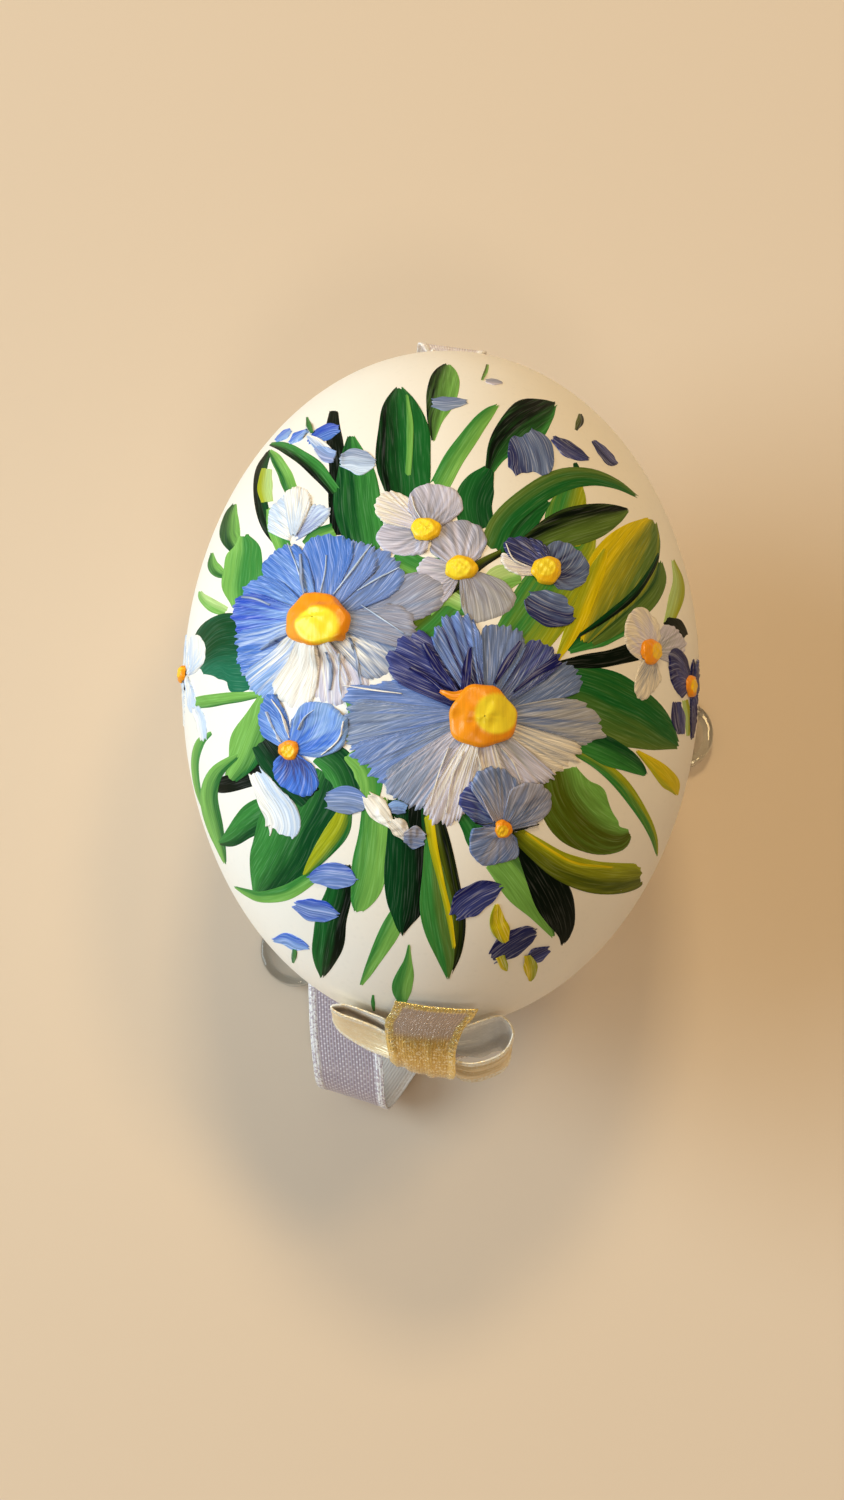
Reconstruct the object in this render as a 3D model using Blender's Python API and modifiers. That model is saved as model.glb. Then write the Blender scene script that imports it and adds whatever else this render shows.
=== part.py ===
"""A painted egg ornament lying on a small clear stand, with a ribbon bow at its pointed end.

Everything is in metres with +Z up and the stand's feet on z = 0. The egg lies along Y, its blunt end
towards +Y, and the origin is the middle of the whole ornament's outline on the table.
"""

import math

import bpy
from mathutils import Matrix, Vector

MM = 0.001

# Egg: a blown hen's egg, turned on its long axis
EGG_LENGTH = 60.0 * MM
EGG_WIDTH = 44.4 * MM
EGG_BULGE = 0.4 * MM
EGG_RINGS = 40
EGG_STEPS = 60
EGG_CENTRE = Vector((-2.066, 0.992, 26.0)) * MM
EGG_TURN = math.radians(-2.3)
EGG_PITCH = math.radians(-5.4)

# Stand: one clear moulding, a round ring on three flat splayed legs
STAND_OFFSET = Vector((-1.3, 2.05)) * MM
RING_RADIUS = 11.5 * MM
RING_SECTION = 1.5 * MM
RING_HEIGHT = 3.45 * MM
LEG_COUNT = 3
LEG_REACH = 27.7 * MM
LEG_HALF_WIDTH = 3.4 * MM
LEG_THICKNESS = 1.7 * MM
LEG_STATIONS = 18
TIP_STATIONS = 7

# Ribbon: narrow satin with a lengthwise rib
RIBBON_THICKNESS = 0.4 * MM
RIBBON_HALF = 3.2 * MM

# Bow, with every place given from the point of the table below the egg's centre, in millimetres
KNOT_CENTRE = Vector((-1.5, -32.4, 29.1))
KNOT_RADII = Vector((2.7, 2.15, 2.9))
LOOP_STEPS = 3
LEFT_LOOP_TOP = (
    (-2.2, -31.4, 30.2), (-3.6, -30.7, 30.6), (-4.7, -30.0, 31.0), (-6.3, -29.3, 31.3), (-7.9, -28.8, 31.5),
    (-9.0, -29.0, 31.3), (-8.4, -29.8, 31.0), (-6.9, -30.4, 30.6), (-5.4, -30.8, 30.3), (-3.6, -31.5, 30.2),
    (-2.2, -32.0, 30.1),
)
LEFT_LOOP_BOTTOM = (
    (-2.2, -31.8, 28.2), (-3.6, -31.2, 27.4), (-4.9, -30.5, 25.9), (-6.5, -29.5, 25.1), (-7.9, -28.7, 24.9),
    (-9.0, -28.9, 25.1), (-8.5, -30.0, 24.9), (-7.1, -31.0, 25.0), (-5.7, -31.8, 25.7), (-3.6, -32.7, 27.3),
    (-2.2, -33.1, 28.2),
)
RIGHT_LOOP_TOP = (
    (-0.8, -31.5, 30.2), (0.2, -31.0, 30.5), (1.6, -30.6, 30.6), (3.3, -29.9, 30.4), (4.9, -29.5, 29.9),
    (5.8, -30.6, 29.5), (5.3, -32.0, 29.2), (4.1, -32.8, 29.0), (2.3, -33.2, 29.1), (0.2, -33.3, 29.6),
    (-0.8, -33.0, 29.8),
)
RIGHT_LOOP_BOTTOM = (
    (-0.8, -32.0, 28.0), (0.3, -32.1, 27.4), (1.7, -32.2, 25.6), (3.3, -32.1, 24.4), (4.7, -31.5, 23.8),
    (5.7, -31.9, 23.6), (5.2, -33.0, 23.7), (3.9, -33.7, 24.1), (2.2, -34.2, 25.0), (0.2, -34.4, 27.0),
    (-0.8, -33.9, 28.0),
)
TAIL_LEFT = ((-3.0, -32.0, 30.0), (-3.8, -31.2, 31.6), (-3.9, -29.9, 32.8), (-3.8, -29.1, 33.7))
TAIL_RIGHT = ((0.2, -32.0, 30.0), (1.7, -31.3, 31.5), (2.6, -30.0, 32.6), (3.1, -29.2, 33.4))

# Hanging ribbon: its middle line, from the bow's knot down and round to the knot again, and the share of
# the ribbon's width that it is spread to at each point, with the direction across it
HANGER = (
    ((-0.9, -32.3, 25.6), 0.40, (1.0, 0.0, 0.0)),
    ((-0.8, -32.1, 23.0), 0.65, (1.0, 0.0, 0.0)),
    ((-0.4, -31.1, 18.9), 0.95, (1.0, 0.0, 0.0)),
    ((0.0, -29.1, 14.1), 1.0, (1.0, 0.0, 0.0)),
    ((0.1, -26.8, 9.6), 1.0, (1.0, -0.05, 0.0)),
    ((-0.2, -24.9, 5.5), 1.0, (0.98, -0.18, 0.0)),
    ((-1.0, -24.3, 2.4), 1.0, (0.94, -0.33, 0.0)),
    ((-2.0, -25.1, 0.9), 1.0, (0.89, -0.45, 0.0)),
    ((-3.3, -26.6, 0.4), 1.0, (0.87, -0.50, 0.0)),
    ((-4.9, -28.8, 0.35), 1.0, (0.87, -0.50, 0.0)),
    ((-6.3, -30.9, 0.5), 1.0, (0.89, -0.45, 0.0)),
    ((-7.4, -32.5, 1.4), 1.0, (0.93, -0.37, 0.0)),
    ((-7.9, -33.0, 2.9), 1.0, (0.955, -0.295, 0.0)),
    ((-8.2, -32.3, 4.6), 1.0, (0.98, -0.20, 0.0)),
    ((-8.4, -30.3, 5.6), 1.0, (0.998, -0.06, 0.0)),
    ((-8.7, -27.0, 5.6), 1.0, (1.0, 0.02, 0.0)),
    ((-8.9, -23.2, 5.2), 1.0, (0.998, 0.05, 0.0)),
    ((-9.1, -19.7, 4.9), 1.0, (0.995, 0.10, 0.0)),
    ((-9.1, -17.8, 5.3), 1.0, (0.99, 0.14, 0.0)),
    ((-8.9, -16.7, 6.6), 1.0, (0.98, 0.20, 0.0)),
    ((-8.4, -17.2, 8.2), 1.0, (0.97, 0.25, 0.0)),
    ((-7.6, -19.3, 9.4), 1.0, (0.97, 0.25, 0.0)),
    ((-6.5, -22.2, 10.8), 1.0, (0.975, 0.22, 0.0)),
    ((-5.1, -25.5, 13.7), 1.0, (0.98, 0.18, 0.0)),
    ((-3.8, -28.4, 17.8), 0.9, (0.99, 0.10, 0.0)),
    ((-2.8, -30.3, 21.8), 0.6, (1.0, 0.03, 0.0)),
    ((-2.1, -31.1, 25.2), 0.40, (1.0, 0.0, 0.0)),
)
HANGER_STEPS = 3

# End knot at the blunt end, places given as for the bow
END_CENTRE = Vector((1.2, 31.0, 22.7))
END_RADII = Vector((2.4, 0.8, 2.2))
END_TAIL_LEFT = (
    (-0.2, 31.0, 23.4), (-1.2, 31.2, 24.6), (-1.9, 32.1, 24.9),
    (-2.1, 32.4, 22.8), (-2.1, 31.9, 20.0), (-2.0, 31.4, 17.6),
)
END_TAIL_RIGHT = (
    (2.6, 30.9, 23.0), (3.4, 30.9, 23.7), (4.1, 31.8, 23.6),
    (4.3, 32.1, 21.6), (4.3, 31.6, 19.2), (4.2, 31.0, 17.1),
)
END_STEPS = 4


def clear_scene():
    for old in list(bpy.data.objects):
        bpy.data.objects.remove(old)


def new_collection(name):
    collection = bpy.data.collections.new(name)
    bpy.context.scene.collection.children.link(collection)
    return collection


def make_material(name, colour, roughness):
    material = bpy.data.materials.new(name)
    material.use_nodes = True
    shader = material.node_tree.nodes["Principled BSDF"]
    shader.inputs["Base Color"].default_value = (*colour, 1.0)
    shader.inputs["Roughness"].default_value = roughness
    shader.inputs["Metallic"].default_value = 0.0
    return material


def add_object(name, mesh, collection, material):
    piece = bpy.data.objects.new(name, mesh)
    collection.objects.link(piece)
    mesh.materials.append(material)
    return piece


def from_primitive(name, collection, material):
    """Takes the primitive that was just added and files it under its own name, with its scale applied."""
    piece = bpy.context.object
    piece.name = name
    piece.data.name = name
    bpy.ops.object.transform_apply(location=False, rotation=False, scale=True)
    for holder in list(piece.users_collection):
        holder.objects.unlink(piece)
    collection.objects.link(piece)
    piece.data.materials.append(material)
    return piece


def smooth_path(points, steps):
    """Points of a smooth curve through the given ones, with so many steps from each to the next."""
    places = [Vector(p) for p in points]
    ends = [places[0] * 2 - places[1], *places, places[-1] * 2 - places[-2]]
    path = []
    for i in range(1, len(ends) - 2):
        before, start, end, after = ends[i - 1 : i + 3]
        for k in range(steps):
            t = k / steps
            path.append(
                0.5
                * (
                    2 * start
                    + (end - before) * t
                    + (2 * before - 5 * start + 4 * end - after) * t**2
                    + (3 * start - before - 3 * end + after) * t**3
                )
            )
    path.append(places[-1])
    return path


def strip_mesh(name, left, right):
    """An open strip of quads between its two edges."""
    count = len(left)
    places = [*left, *right]
    quads = [(i, i + 1, count + i + 1, count + i) for i in range(count - 1)]
    mesh = bpy.data.meshes.new(name)
    mesh.from_pydata([tuple(p) for p in places], [], quads)
    return mesh


def add_strip(name, left, right, thickness, collection, material):
    """A flat band of even thickness whose edges follow two curves."""
    piece = add_object(name, strip_mesh(name, left, right), collection, material)
    wall = piece.modifiers.new("wall", "SOLIDIFY")
    wall.thickness = thickness
    wall.offset = 0.0
    return piece


def from_table_point(points):
    """Millimetres from the point of the table below the egg's centre, as places in metres."""
    base = Vector((EGG_CENTRE.x, EGG_CENTRE.y, 0.0))
    return [base + Vector(p) * MM for p in points]


def join(piece, others):
    """Unites a piece with other shapes, which are then only guides."""
    for other in others:
        other.hide_render = True
        other.display_type = "WIRE"
        union = piece.modifiers.new("join " + other.name, "BOOLEAN")
        union.operation = "UNION"
        union.solver = "EXACT"
        union.object = other


def egg_radius(along):
    """The egg's radius at a distance along its axis from its middle, blunt end positive."""
    x = -along
    under = EGG_LENGTH**2 + 8 * EGG_BULGE * x + 4 * EGG_BULGE**2
    return EGG_WIDTH / 2 * math.sqrt(max(EGG_LENGTH**2 - 4 * x * x, 0.0) / under)


def build_egg(collection, material):
    """The shell's outline from the blunt pole to the pointed one, turned about the long axis."""
    outline = []
    for i in range(EGG_RINGS + 1):
        along = EGG_LENGTH / 2 * math.cos(math.pi * i / EGG_RINGS)
        radius = 0.0 if i in (0, EGG_RINGS) else egg_radius(along)
        outline.append((radius, 0.0, along))
    mesh = bpy.data.meshes.new("egg")
    mesh.from_pydata(outline, [(i, i + 1) for i in range(EGG_RINGS)], [])
    egg = add_object("egg", mesh, collection, material)
    turned = egg.modifiers.new("turned", "SCREW")
    turned.axis = "Z"
    turned.angle = 2 * math.pi
    turned.steps = EGG_STEPS
    turned.render_steps = EGG_STEPS
    turned.use_merge_vertices = True
    turned.merge_threshold = 0.01 * MM
    turned.use_smooth_shade = True
    lying = Matrix.Rotation(EGG_TURN, 4, "Z") @ Matrix.Rotation(EGG_PITCH, 4, "X")
    egg.matrix_world = Matrix.Translation(EGG_CENTRE) @ lying @ Matrix.Rotation(-math.pi / 2, 4, "X")
    return egg


def leg_height(reach):
    """The height of a leg's middle: level with the ring, then easing down to a flat foot."""
    start = RING_RADIUS + RING_SECTION
    end = LEG_REACH - 2 * LEG_HALF_WIDTH
    share = min(max((reach - start) / (end - start), 0.0), 1.0)
    eased = share * share * (3 - 2 * share)
    return RING_HEIGHT + (LEG_THICKNESS / 2 - RING_HEIGHT) * eased


def leg_edges():
    """Left and right edges of one leg along +X, with a round tip."""
    tip_start = LEG_REACH - LEG_HALF_WIDTH
    stations = [
        (RING_RADIUS + (tip_start - RING_RADIUS) * i / LEG_STATIONS, LEG_HALF_WIDTH) for i in range(LEG_STATIONS)
    ]
    for i in range(TIP_STATIONS):
        angle = math.pi / 2 * i / TIP_STATIONS
        stations.append((tip_start + LEG_HALF_WIDTH * math.sin(angle), LEG_HALF_WIDTH * math.cos(angle)))
    left = [Vector((reach, half, leg_height(reach))) for reach, half in stations]
    right = [Vector((reach, -half, leg_height(reach))) for reach, half in stations]
    return left, right


def build_stand(collection, cutters, material):
    centre = Vector((EGG_CENTRE.x + STAND_OFFSET.x, EGG_CENTRE.y + STAND_OFFSET.y, 0.0))
    bpy.ops.mesh.primitive_torus_add(
        major_segments=48,
        minor_segments=14,
        major_radius=RING_RADIUS,
        minor_radius=RING_SECTION,
        location=centre + Vector((0.0, 0.0, RING_HEIGHT)),
    )
    stand = from_primitive("stand", collection, material)
    stand.data.shade_smooth()
    legs = []
    for i in range(LEG_COUNT):
        left, right = leg_edges()
        leg = add_strip(f"leg_{i + 1}", left, right, LEG_THICKNESS, cutters, material)
        leg.matrix_world = Matrix.Translation(centre) @ Matrix.Rotation(2 * math.pi * i / LEG_COUNT, 4, "Z")
        legs.append(leg)
    join(stand, legs)
    return stand


def build_lump(name, centre, radii, collection, material):
    """A rounded knot of tied ribbon."""
    place = from_table_point([centre])[0]
    bpy.ops.mesh.primitive_uv_sphere_add(segments=20, ring_count=12, radius=1.0, location=place)
    bpy.context.object.scale = radii * MM
    lump = from_primitive(name, collection, material)
    lump.data.shade_smooth()
    return lump


def band(name, left, right, steps, collection, material):
    """A piece of ribbon between two edges given from the table point."""
    edges = [from_table_point(smooth_path(edge, steps)) for edge in (left, right)]
    return add_strip(name, *edges, RIBBON_THICKNESS, collection, material)


def build_bow(collection, cutters, material):
    bow = build_lump("bow", KNOT_CENTRE, KNOT_RADII, collection, material)
    parts = [
        band("left_loop", LEFT_LOOP_TOP, LEFT_LOOP_BOTTOM, LOOP_STEPS, cutters, material),
        band("right_loop", RIGHT_LOOP_TOP, RIGHT_LOOP_BOTTOM, LOOP_STEPS, cutters, material),
        band("tail", TAIL_LEFT, TAIL_RIGHT, LOOP_STEPS, cutters, material),
    ]
    join(bow, parts)
    return bow


def build_end_knot(collection, cutters, material):
    knot = build_lump("end_knot", END_CENTRE, END_RADII, collection, material)
    tail = band("end_tail", END_TAIL_LEFT, END_TAIL_RIGHT, END_STEPS, cutters, material)
    join(knot, [tail])
    return knot


def build_hanger(collection, material):
    middle = smooth_path([place for place, _, _ in HANGER], HANGER_STEPS)
    spread = smooth_path([(share, 0.0, 0.0) for _, share, _ in HANGER], HANGER_STEPS)
    across = smooth_path([side for _, _, side in HANGER], HANGER_STEPS)
    left, right = [], []
    for place, share, side in zip(middle, spread, across):
        half = side.normalized() * (RIBBON_HALF / MM * min(share.x, 1.0))
        left.append(place - half)
        right.append(place + half)
    edges = [from_table_point(edge) for edge in (left, right)]
    return add_strip("hanging_ribbon", *edges, RIBBON_THICKNESS, collection, material)


clear_scene()
ornament = new_collection("easter_egg")
cutters = new_collection("joined_shapes")
shell = make_material("eggshell", (0.90, 0.88, 0.83), 0.45)
satin = make_material("satin_ribbon", (0.78, 0.74, 0.76), 0.35)
clear_plastic = make_material("clear_plastic", (0.93, 0.95, 0.96), 0.08)
build_egg(ornament, shell)
build_stand(ornament, cutters, clear_plastic)
build_bow(ornament, cutters, satin)
build_hanger(ornament, satin)
build_end_knot(ornament, cutters, satin)
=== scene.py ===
"""A painted blown egg on a clear stand, tied with satin ribbon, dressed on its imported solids."""

import math

import bpy
import numpy as np
from mathutils import Matrix, Vector


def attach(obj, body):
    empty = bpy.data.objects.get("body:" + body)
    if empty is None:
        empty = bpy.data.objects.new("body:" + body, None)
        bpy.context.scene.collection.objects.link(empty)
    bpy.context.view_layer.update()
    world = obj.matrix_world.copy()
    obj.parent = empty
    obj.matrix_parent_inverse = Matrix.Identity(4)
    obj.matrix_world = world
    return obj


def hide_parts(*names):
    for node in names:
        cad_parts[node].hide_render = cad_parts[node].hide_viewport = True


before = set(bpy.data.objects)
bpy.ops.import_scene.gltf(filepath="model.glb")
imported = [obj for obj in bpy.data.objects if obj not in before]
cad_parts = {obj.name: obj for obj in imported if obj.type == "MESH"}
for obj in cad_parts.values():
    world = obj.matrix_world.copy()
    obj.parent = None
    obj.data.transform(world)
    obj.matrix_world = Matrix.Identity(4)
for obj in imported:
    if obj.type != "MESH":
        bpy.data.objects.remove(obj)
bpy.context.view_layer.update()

# Camera and room
# The camera looks down on the egg from just above its bow end, close enough to show the painted strokes.
# A pale floor and soft lamps stand for the room: daylight from the left and three warm lamps overhead.
MM = 0.001
EGG_CENTRE = np.array([-2.066, 0.992, 26.0]) * MM
PICTURE_WIDTH = 844
PICTURE_HEIGHT = 1500
EGG_IN_PICTURE = (441.0, 683.6)
FOCAL_LENGTH_PX = 2544.6
VIEW_ELEVATION = math.radians(75.7)
EYE_DISTANCE = 220 * MM
SENSOR = 36.0

view_right = np.array([1.0, 0.0, 0.0])
view_up = np.array([0.0, math.sin(VIEW_ELEVATION), math.cos(VIEW_ELEVATION)])
view_back = np.array([0.0, -math.cos(VIEW_ELEVATION), math.sin(VIEW_ELEVATION)])
egg_right = (EGG_IN_PICTURE[0] - PICTURE_WIDTH / 2) / FOCAL_LENGTH_PX * EYE_DISTANCE
egg_up = (PICTURE_HEIGHT / 2 - EGG_IN_PICTURE[1]) / FOCAL_LENGTH_PX * EYE_DISTANCE
eye = EGG_CENTRE + view_back * EYE_DISTANCE - view_right * egg_right - view_up * egg_up

camera_data = bpy.data.cameras.new("camera")
camera_data.sensor_width = SENSOR
camera_data.lens = FOCAL_LENGTH_PX * SENSOR / PICTURE_HEIGHT
camera_data.clip_start = 0.01
camera_data.clip_end = 20.0
camera = bpy.data.objects.new("camera", camera_data)
bpy.context.scene.collection.objects.link(camera)
camera.location = eye
camera.rotation_euler = (math.pi / 2 - VIEW_ELEVATION, 0.0, 0.0)
bpy.context.scene.camera = camera
bpy.context.scene.view_settings.view_transform = "Standard"


def colour(code):
    """A colour written as six hexadecimal digits, as the linear values that a shader takes."""
    parts = [int(code[i : i + 2], 16) / 255 for i in (0, 2, 4)]
    return [c / 12.92 if c <= 0.04045 else ((c + 0.055) / 1.055) ** 2.4 for c in parts]


def plain_material(name, base, roughness):
    material = bpy.data.materials.new(name)
    material.use_nodes = True
    shader = material.node_tree.nodes["Principled BSDF"]
    shader.inputs["Base Color"].default_value = (*colour(base), 1.0)
    shader.inputs["Roughness"].default_value = roughness
    return material


bpy.ops.object.select_all(action="DESELECT")
bpy.ops.mesh.primitive_plane_add(size=3.0, location=(0.0, 0.0, 0.0))
floor = bpy.context.object
floor.name = "floor"
floor.data.materials.append(plain_material("pale_floor", "dccbb8", 0.7))


def add_lamp(name, place, size, power, tint):
    """A square soft lamp that faces the egg."""
    data = bpy.data.lights.new(name, "AREA")
    data.shape = "SQUARE"
    data.size = size
    data.energy = power
    data.color = tint
    lamp = bpy.data.objects.new(name, data)
    lamp.location = place
    lamp.rotation_euler = (Vector(EGG_CENTRE) - Vector(place)).to_track_quat("-Z", "Y").to_euler()
    bpy.context.scene.collection.objects.link(lamp)


add_lamp("daylight", (-0.75, 0.04, 0.42), 0.6, 7.4, (0.74, 0.91, 1.0))
add_lamp("left_ceiling_lamp", (0.02, 0.52, 0.78), 0.16, 2.5, (1.0, 0.76, 0.42))
add_lamp("right_ceiling_lamp", (0.30, 0.30, 0.90), 0.16, 1.7, (1.0, 0.70, 0.32))
add_lamp("front_ceiling_lamp", (0.04, -0.42, 0.62), 0.12, 0.6, (1.0, 0.86, 0.66))
room = bpy.data.worlds.new("room")
room.use_nodes = True
room.node_tree.nodes["Background"].inputs["Color"].default_value = (1.0, 0.74, 0.48, 1.0)
room.node_tree.nodes["Background"].inputs["Strength"].default_value = 0.22
bpy.context.scene.world = room

# Hanging ribbon
# A loop of narrow satin ribbon with a lengthwise rib and a glittering thread along both edges. It comes
# out of the bow's knot, lies folded on the table in front of the egg and goes back into the knot.
RIBBON_WIDTH = 6.4 * MM
RIBBON_THICKNESS = 0.16 * MM
RIB_COUNT = 25
RIB_HEIGHT = 0.02 * MM
PLEAT_TURNS = (3.25, 5.5)
DOT_PITCH = 0.62
FLAKES_PER_MM = 6.5
EDGE_THREAD = 0.7 * MM
THREAD_HEIGHT = 0.05 * MM
THREAD_TWIST = 0.42 * MM
RIBBON_COLUMNS = 101
HANGER_STEPS = 12
TABLE_POINT = EGG_CENTRE * np.array([1.0, 1.0, 0.0])
HANGER = (
    ((-0.9, -32.3, 25.6), 0.40, (1.0, 0.0, 0.0)),
    ((-0.8, -32.1, 23.0), 0.65, (1.0, 0.0, 0.0)),
    ((-0.4, -31.1, 18.9), 0.95, (1.0, 0.0, 0.0)),
    ((0.0, -29.1, 14.1), 1.0, (1.0, 0.0, 0.0)),
    ((0.1, -26.8, 9.6), 1.0, (1.0, -0.05, 0.0)),
    ((-0.2, -24.9, 5.5), 1.0, (0.98, -0.18, 0.0)),
    ((-1.0, -24.3, 2.4), 1.0, (0.94, -0.33, 0.0)),
    ((-2.0, -25.1, 0.9), 1.0, (0.89, -0.45, 0.0)),
    ((-3.3, -26.6, 0.4), 1.0, (0.87, -0.50, 0.0)),
    ((-4.9, -28.8, 0.35), 1.0, (0.87, -0.50, 0.0)),
    ((-6.3, -30.9, 0.5), 1.0, (0.89, -0.45, 0.0)),
    ((-7.4, -32.5, 1.4), 1.0, (0.93, -0.37, 0.0)),
    ((-7.9, -33.0, 2.9), 1.0, (0.955, -0.295, 0.0)),
    ((-8.2, -32.3, 4.6), 1.0, (0.98, -0.20, 0.0)),
    ((-8.4, -30.3, 5.6), 1.0, (0.998, -0.06, 0.0)),
    ((-8.7, -27.0, 5.6), 1.0, (1.0, 0.02, 0.0)),
    ((-8.9, -23.2, 5.2), 1.0, (0.998, 0.05, 0.0)),
    ((-9.1, -19.7, 4.9), 1.0, (0.995, 0.10, 0.0)),
    ((-9.1, -17.8, 5.3), 1.0, (0.99, 0.14, 0.0)),
    ((-8.9, -16.7, 6.6), 1.0, (0.98, 0.20, 0.0)),
    ((-8.4, -17.2, 8.2), 1.0, (0.97, 0.25, 0.0)),
    ((-7.6, -19.3, 9.4), 1.0, (0.97, 0.25, 0.0)),
    ((-6.5, -22.2, 10.8), 1.0, (0.975, 0.22, 0.0)),
    ((-5.1, -25.5, 13.7), 1.0, (0.98, 0.18, 0.0)),
    ((-3.8, -28.4, 17.8), 0.9, (0.99, 0.10, 0.0)),
    ((-2.8, -30.3, 21.8), 0.6, (1.0, 0.03, 0.0)),
    ((-2.1, -31.1, 25.2), 0.40, (1.0, 0.0, 0.0)),
)


def smooth_path(points, steps):
    """Points of a smooth curve through the given ones, with so many steps from each to the next."""
    places = np.array(points, float)
    places = np.vstack([2 * places[0] - places[1], places, 2 * places[-1] - places[-2]])
    share = (np.arange(steps) / steps)[:, None]
    path = []
    for before, start, end, after in zip(places, places[1:], places[2:], places[3:]):
        path.append(
            0.5
            * (
                2 * start
                + (end - before) * share
                + (2 * before - 5 * start + 4 * end - after) * share**2
                + (3 * start - before - 3 * end + after) * share**3
            )
        )
    return np.vstack([*path, places[-2:-1]])


def unit(vectors):
    return vectors / np.maximum(np.linalg.norm(vectors, axis=-1, keepdims=True), 1e-12)


def grid_mesh(name, points, maps):
    """A sheet of quads through a grid of points, with UV maps given point by point."""
    rows, columns = points.shape[:2]
    index = np.arange(rows * columns).reshape(rows, columns)
    quads = [index[:-1, :-1], index[:-1, 1:], index[1:, 1:], index[1:, :-1]]
    quads = np.stack(quads, axis=-1).reshape(-1, 4)
    mesh = bpy.data.meshes.new(name)
    mesh.from_pydata(points.reshape(-1, 3).tolist(), [], quads.tolist())
    corners = quads.ravel()
    for map_name, values in maps.items():
        layer = mesh.uv_layers.new(name=map_name)
        layer.uv.foreach_set("vector", values.reshape(-1, 2)[corners].astype(np.float32).ravel())
    mesh.shade_smooth()
    return mesh


def add_piece(name, mesh, material):
    piece = bpy.data.objects.new(name, mesh)
    bpy.context.scene.collection.objects.link(piece)
    mesh.materials.append(material)
    return piece


def apply_modifiers(piece):
    bpy.ops.object.select_all(action="DESELECT")
    piece.select_set(True)
    bpy.context.view_layer.objects.active = piece
    for modifier in list(piece.modifiers):
        bpy.ops.object.modifier_apply(modifier=modifier.name)


def ribbon_band(name, left, right, face_satin, back_satin, pleats=0.0, crown=0.0, seed=1):
    """A ribbon between two edge curves. Where the edges come close the ribbon gathers in pleats, and the
    threads along its edges stand a little proud and glitter."""
    chooser = np.random.default_rng(seed)
    across = np.linspace(0.0, 1.0, RIBBON_COLUMNS)
    span = right - left
    width = np.linalg.norm(span, axis=1)
    middle = (left + right) / 2
    course = unit(np.gradient(middle, axis=0))
    face = unit(np.cross(span, course))
    along = np.concatenate([[0.0], np.cumsum(np.linalg.norm(np.diff(middle, axis=0), axis=1))])
    points = left[:, None, :] + span[:, None, :] * across[None, :, None]
    gathered = np.clip(1.0 - width / RIBBON_WIDTH, 0.0, 1.0)[:, None]
    broad_fold = np.sin(across * PLEAT_TURNS[0] * 2 * math.pi + 0.9)
    fine_fold = np.sin(across * PLEAT_TURNS[1] * 2 * math.pi + along[:, None] * 220)
    fold = broad_fold * 0.6 + fine_fold * 0.4
    lift = pleats * gathered * fold
    lift = lift + crown * (1.0 - (2 * across - 1.0) ** 2)
    lift = lift + RIB_HEIGHT * np.cos(across * RIB_COUNT * 2 * math.pi)
    from_edge = np.minimum(across, 1.0 - across) * RIBBON_WIDTH
    thread = np.clip(1.0 - np.abs(from_edge / EDGE_THREAD - 0.5) * 2.0, 0.0, 1.0) ** 0.5
    twist = np.sin(along[:, None] / THREAD_TWIST * 2 * math.pi + from_edge / EDGE_THREAD * 5.0)
    sparkle = chooser.uniform(-1.0, 1.0, (len(along), RIBBON_COLUMNS))
    lift = lift + thread * THREAD_HEIGHT * (1.0 + 0.35 * twist + 0.30 * sparkle)
    points = points + face[:, None, :] * lift[:, :, None]
    flat = np.stack(np.broadcast_arrays(across * RIBBON_WIDTH / MM, along[:, None] / MM), axis=-1)
    mesh = grid_mesh(name, points, {"ribbon": flat})
    piece = add_piece(name, mesh, face_satin)
    mesh.materials.append(back_satin)
    wall = piece.modifiers.new("wall", "SOLIDIFY")
    wall.thickness = RIBBON_THICKNESS
    wall.offset = 0.0
    wall.material_offset = 1
    apply_modifiers(piece)
    return piece


def add_node(tree, kind, inputs=None, **settings):
    """A shader node with its settings, each of the given inputs linked to a socket or set to a value."""
    node = tree.nodes.new("ShaderNode" + kind)
    for label, value in settings.items():
        setattr(node, label, value)
    for label, value in (inputs or {}).items():
        if isinstance(value, bpy.types.NodeSocket):
            tree.links.new(value, node.inputs[label])
        else:
            node.inputs[label].default_value = value
    return node


def add_math(tree, operation, *values, clamped=False):
    inputs = dict(enumerate(values))
    return add_node(tree, "Math", inputs, operation=operation, use_clamp=clamped).outputs[0]


def add_ramp(tree, value, start, end, low=0.0, high=1.0, smooth=True):
    """A value that goes from low to high as the given one goes from start to end."""
    inputs = {"Value": value, "From Min": start, "From Max": end, "To Min": low, "To Max": high}
    kind = "SMOOTHSTEP" if smooth else "LINEAR"
    return add_node(tree, "MapRange", inputs, interpolation_type=kind).outputs["Result"]


def add_mix(tree, factor, low, high, blend="MIX"):
    inputs = {"Factor": factor, "A": low, "B": high}
    return add_node(tree, "Mix", inputs, data_type="RGBA", blend_type=blend).outputs["Result"]


def add_noise(tree, place, stretch, detail, **inputs):
    """Noise drawn out along a UV map."""
    mapped = add_node(tree, "Mapping", {"Vector": place, "Scale": stretch}).outputs["Vector"]
    inputs.update({"Vector": mapped, "Scale": 1.0, "Detail": detail})
    return add_node(tree, "TexNoise", inputs).outputs["Fac"]


def new_group(name, colours, values, fill):
    """A node group with colours and values as inputs. The fill function makes its nodes and gives its
    outputs by name."""
    group = bpy.data.node_groups.new(name, "ShaderNodeTree")
    for label in colours:
        group.interface.new_socket(label, in_out="INPUT", socket_type="NodeSocketColor")
    for label in values:
        group.interface.new_socket(label, in_out="INPUT", socket_type="NodeSocketFloat")
    results = fill(group, group.nodes.new("NodeGroupInput").outputs)
    for label in results:
        kind = "NodeSocketColor" if label == "Color" else "NodeSocketFloat"
        group.interface.new_socket(label, in_out="OUTPUT", socket_type=kind)
    out = group.nodes.new("NodeGroupOutput").inputs
    for label, socket in results.items():
        group.links.new(socket, out[label])
    return group


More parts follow.
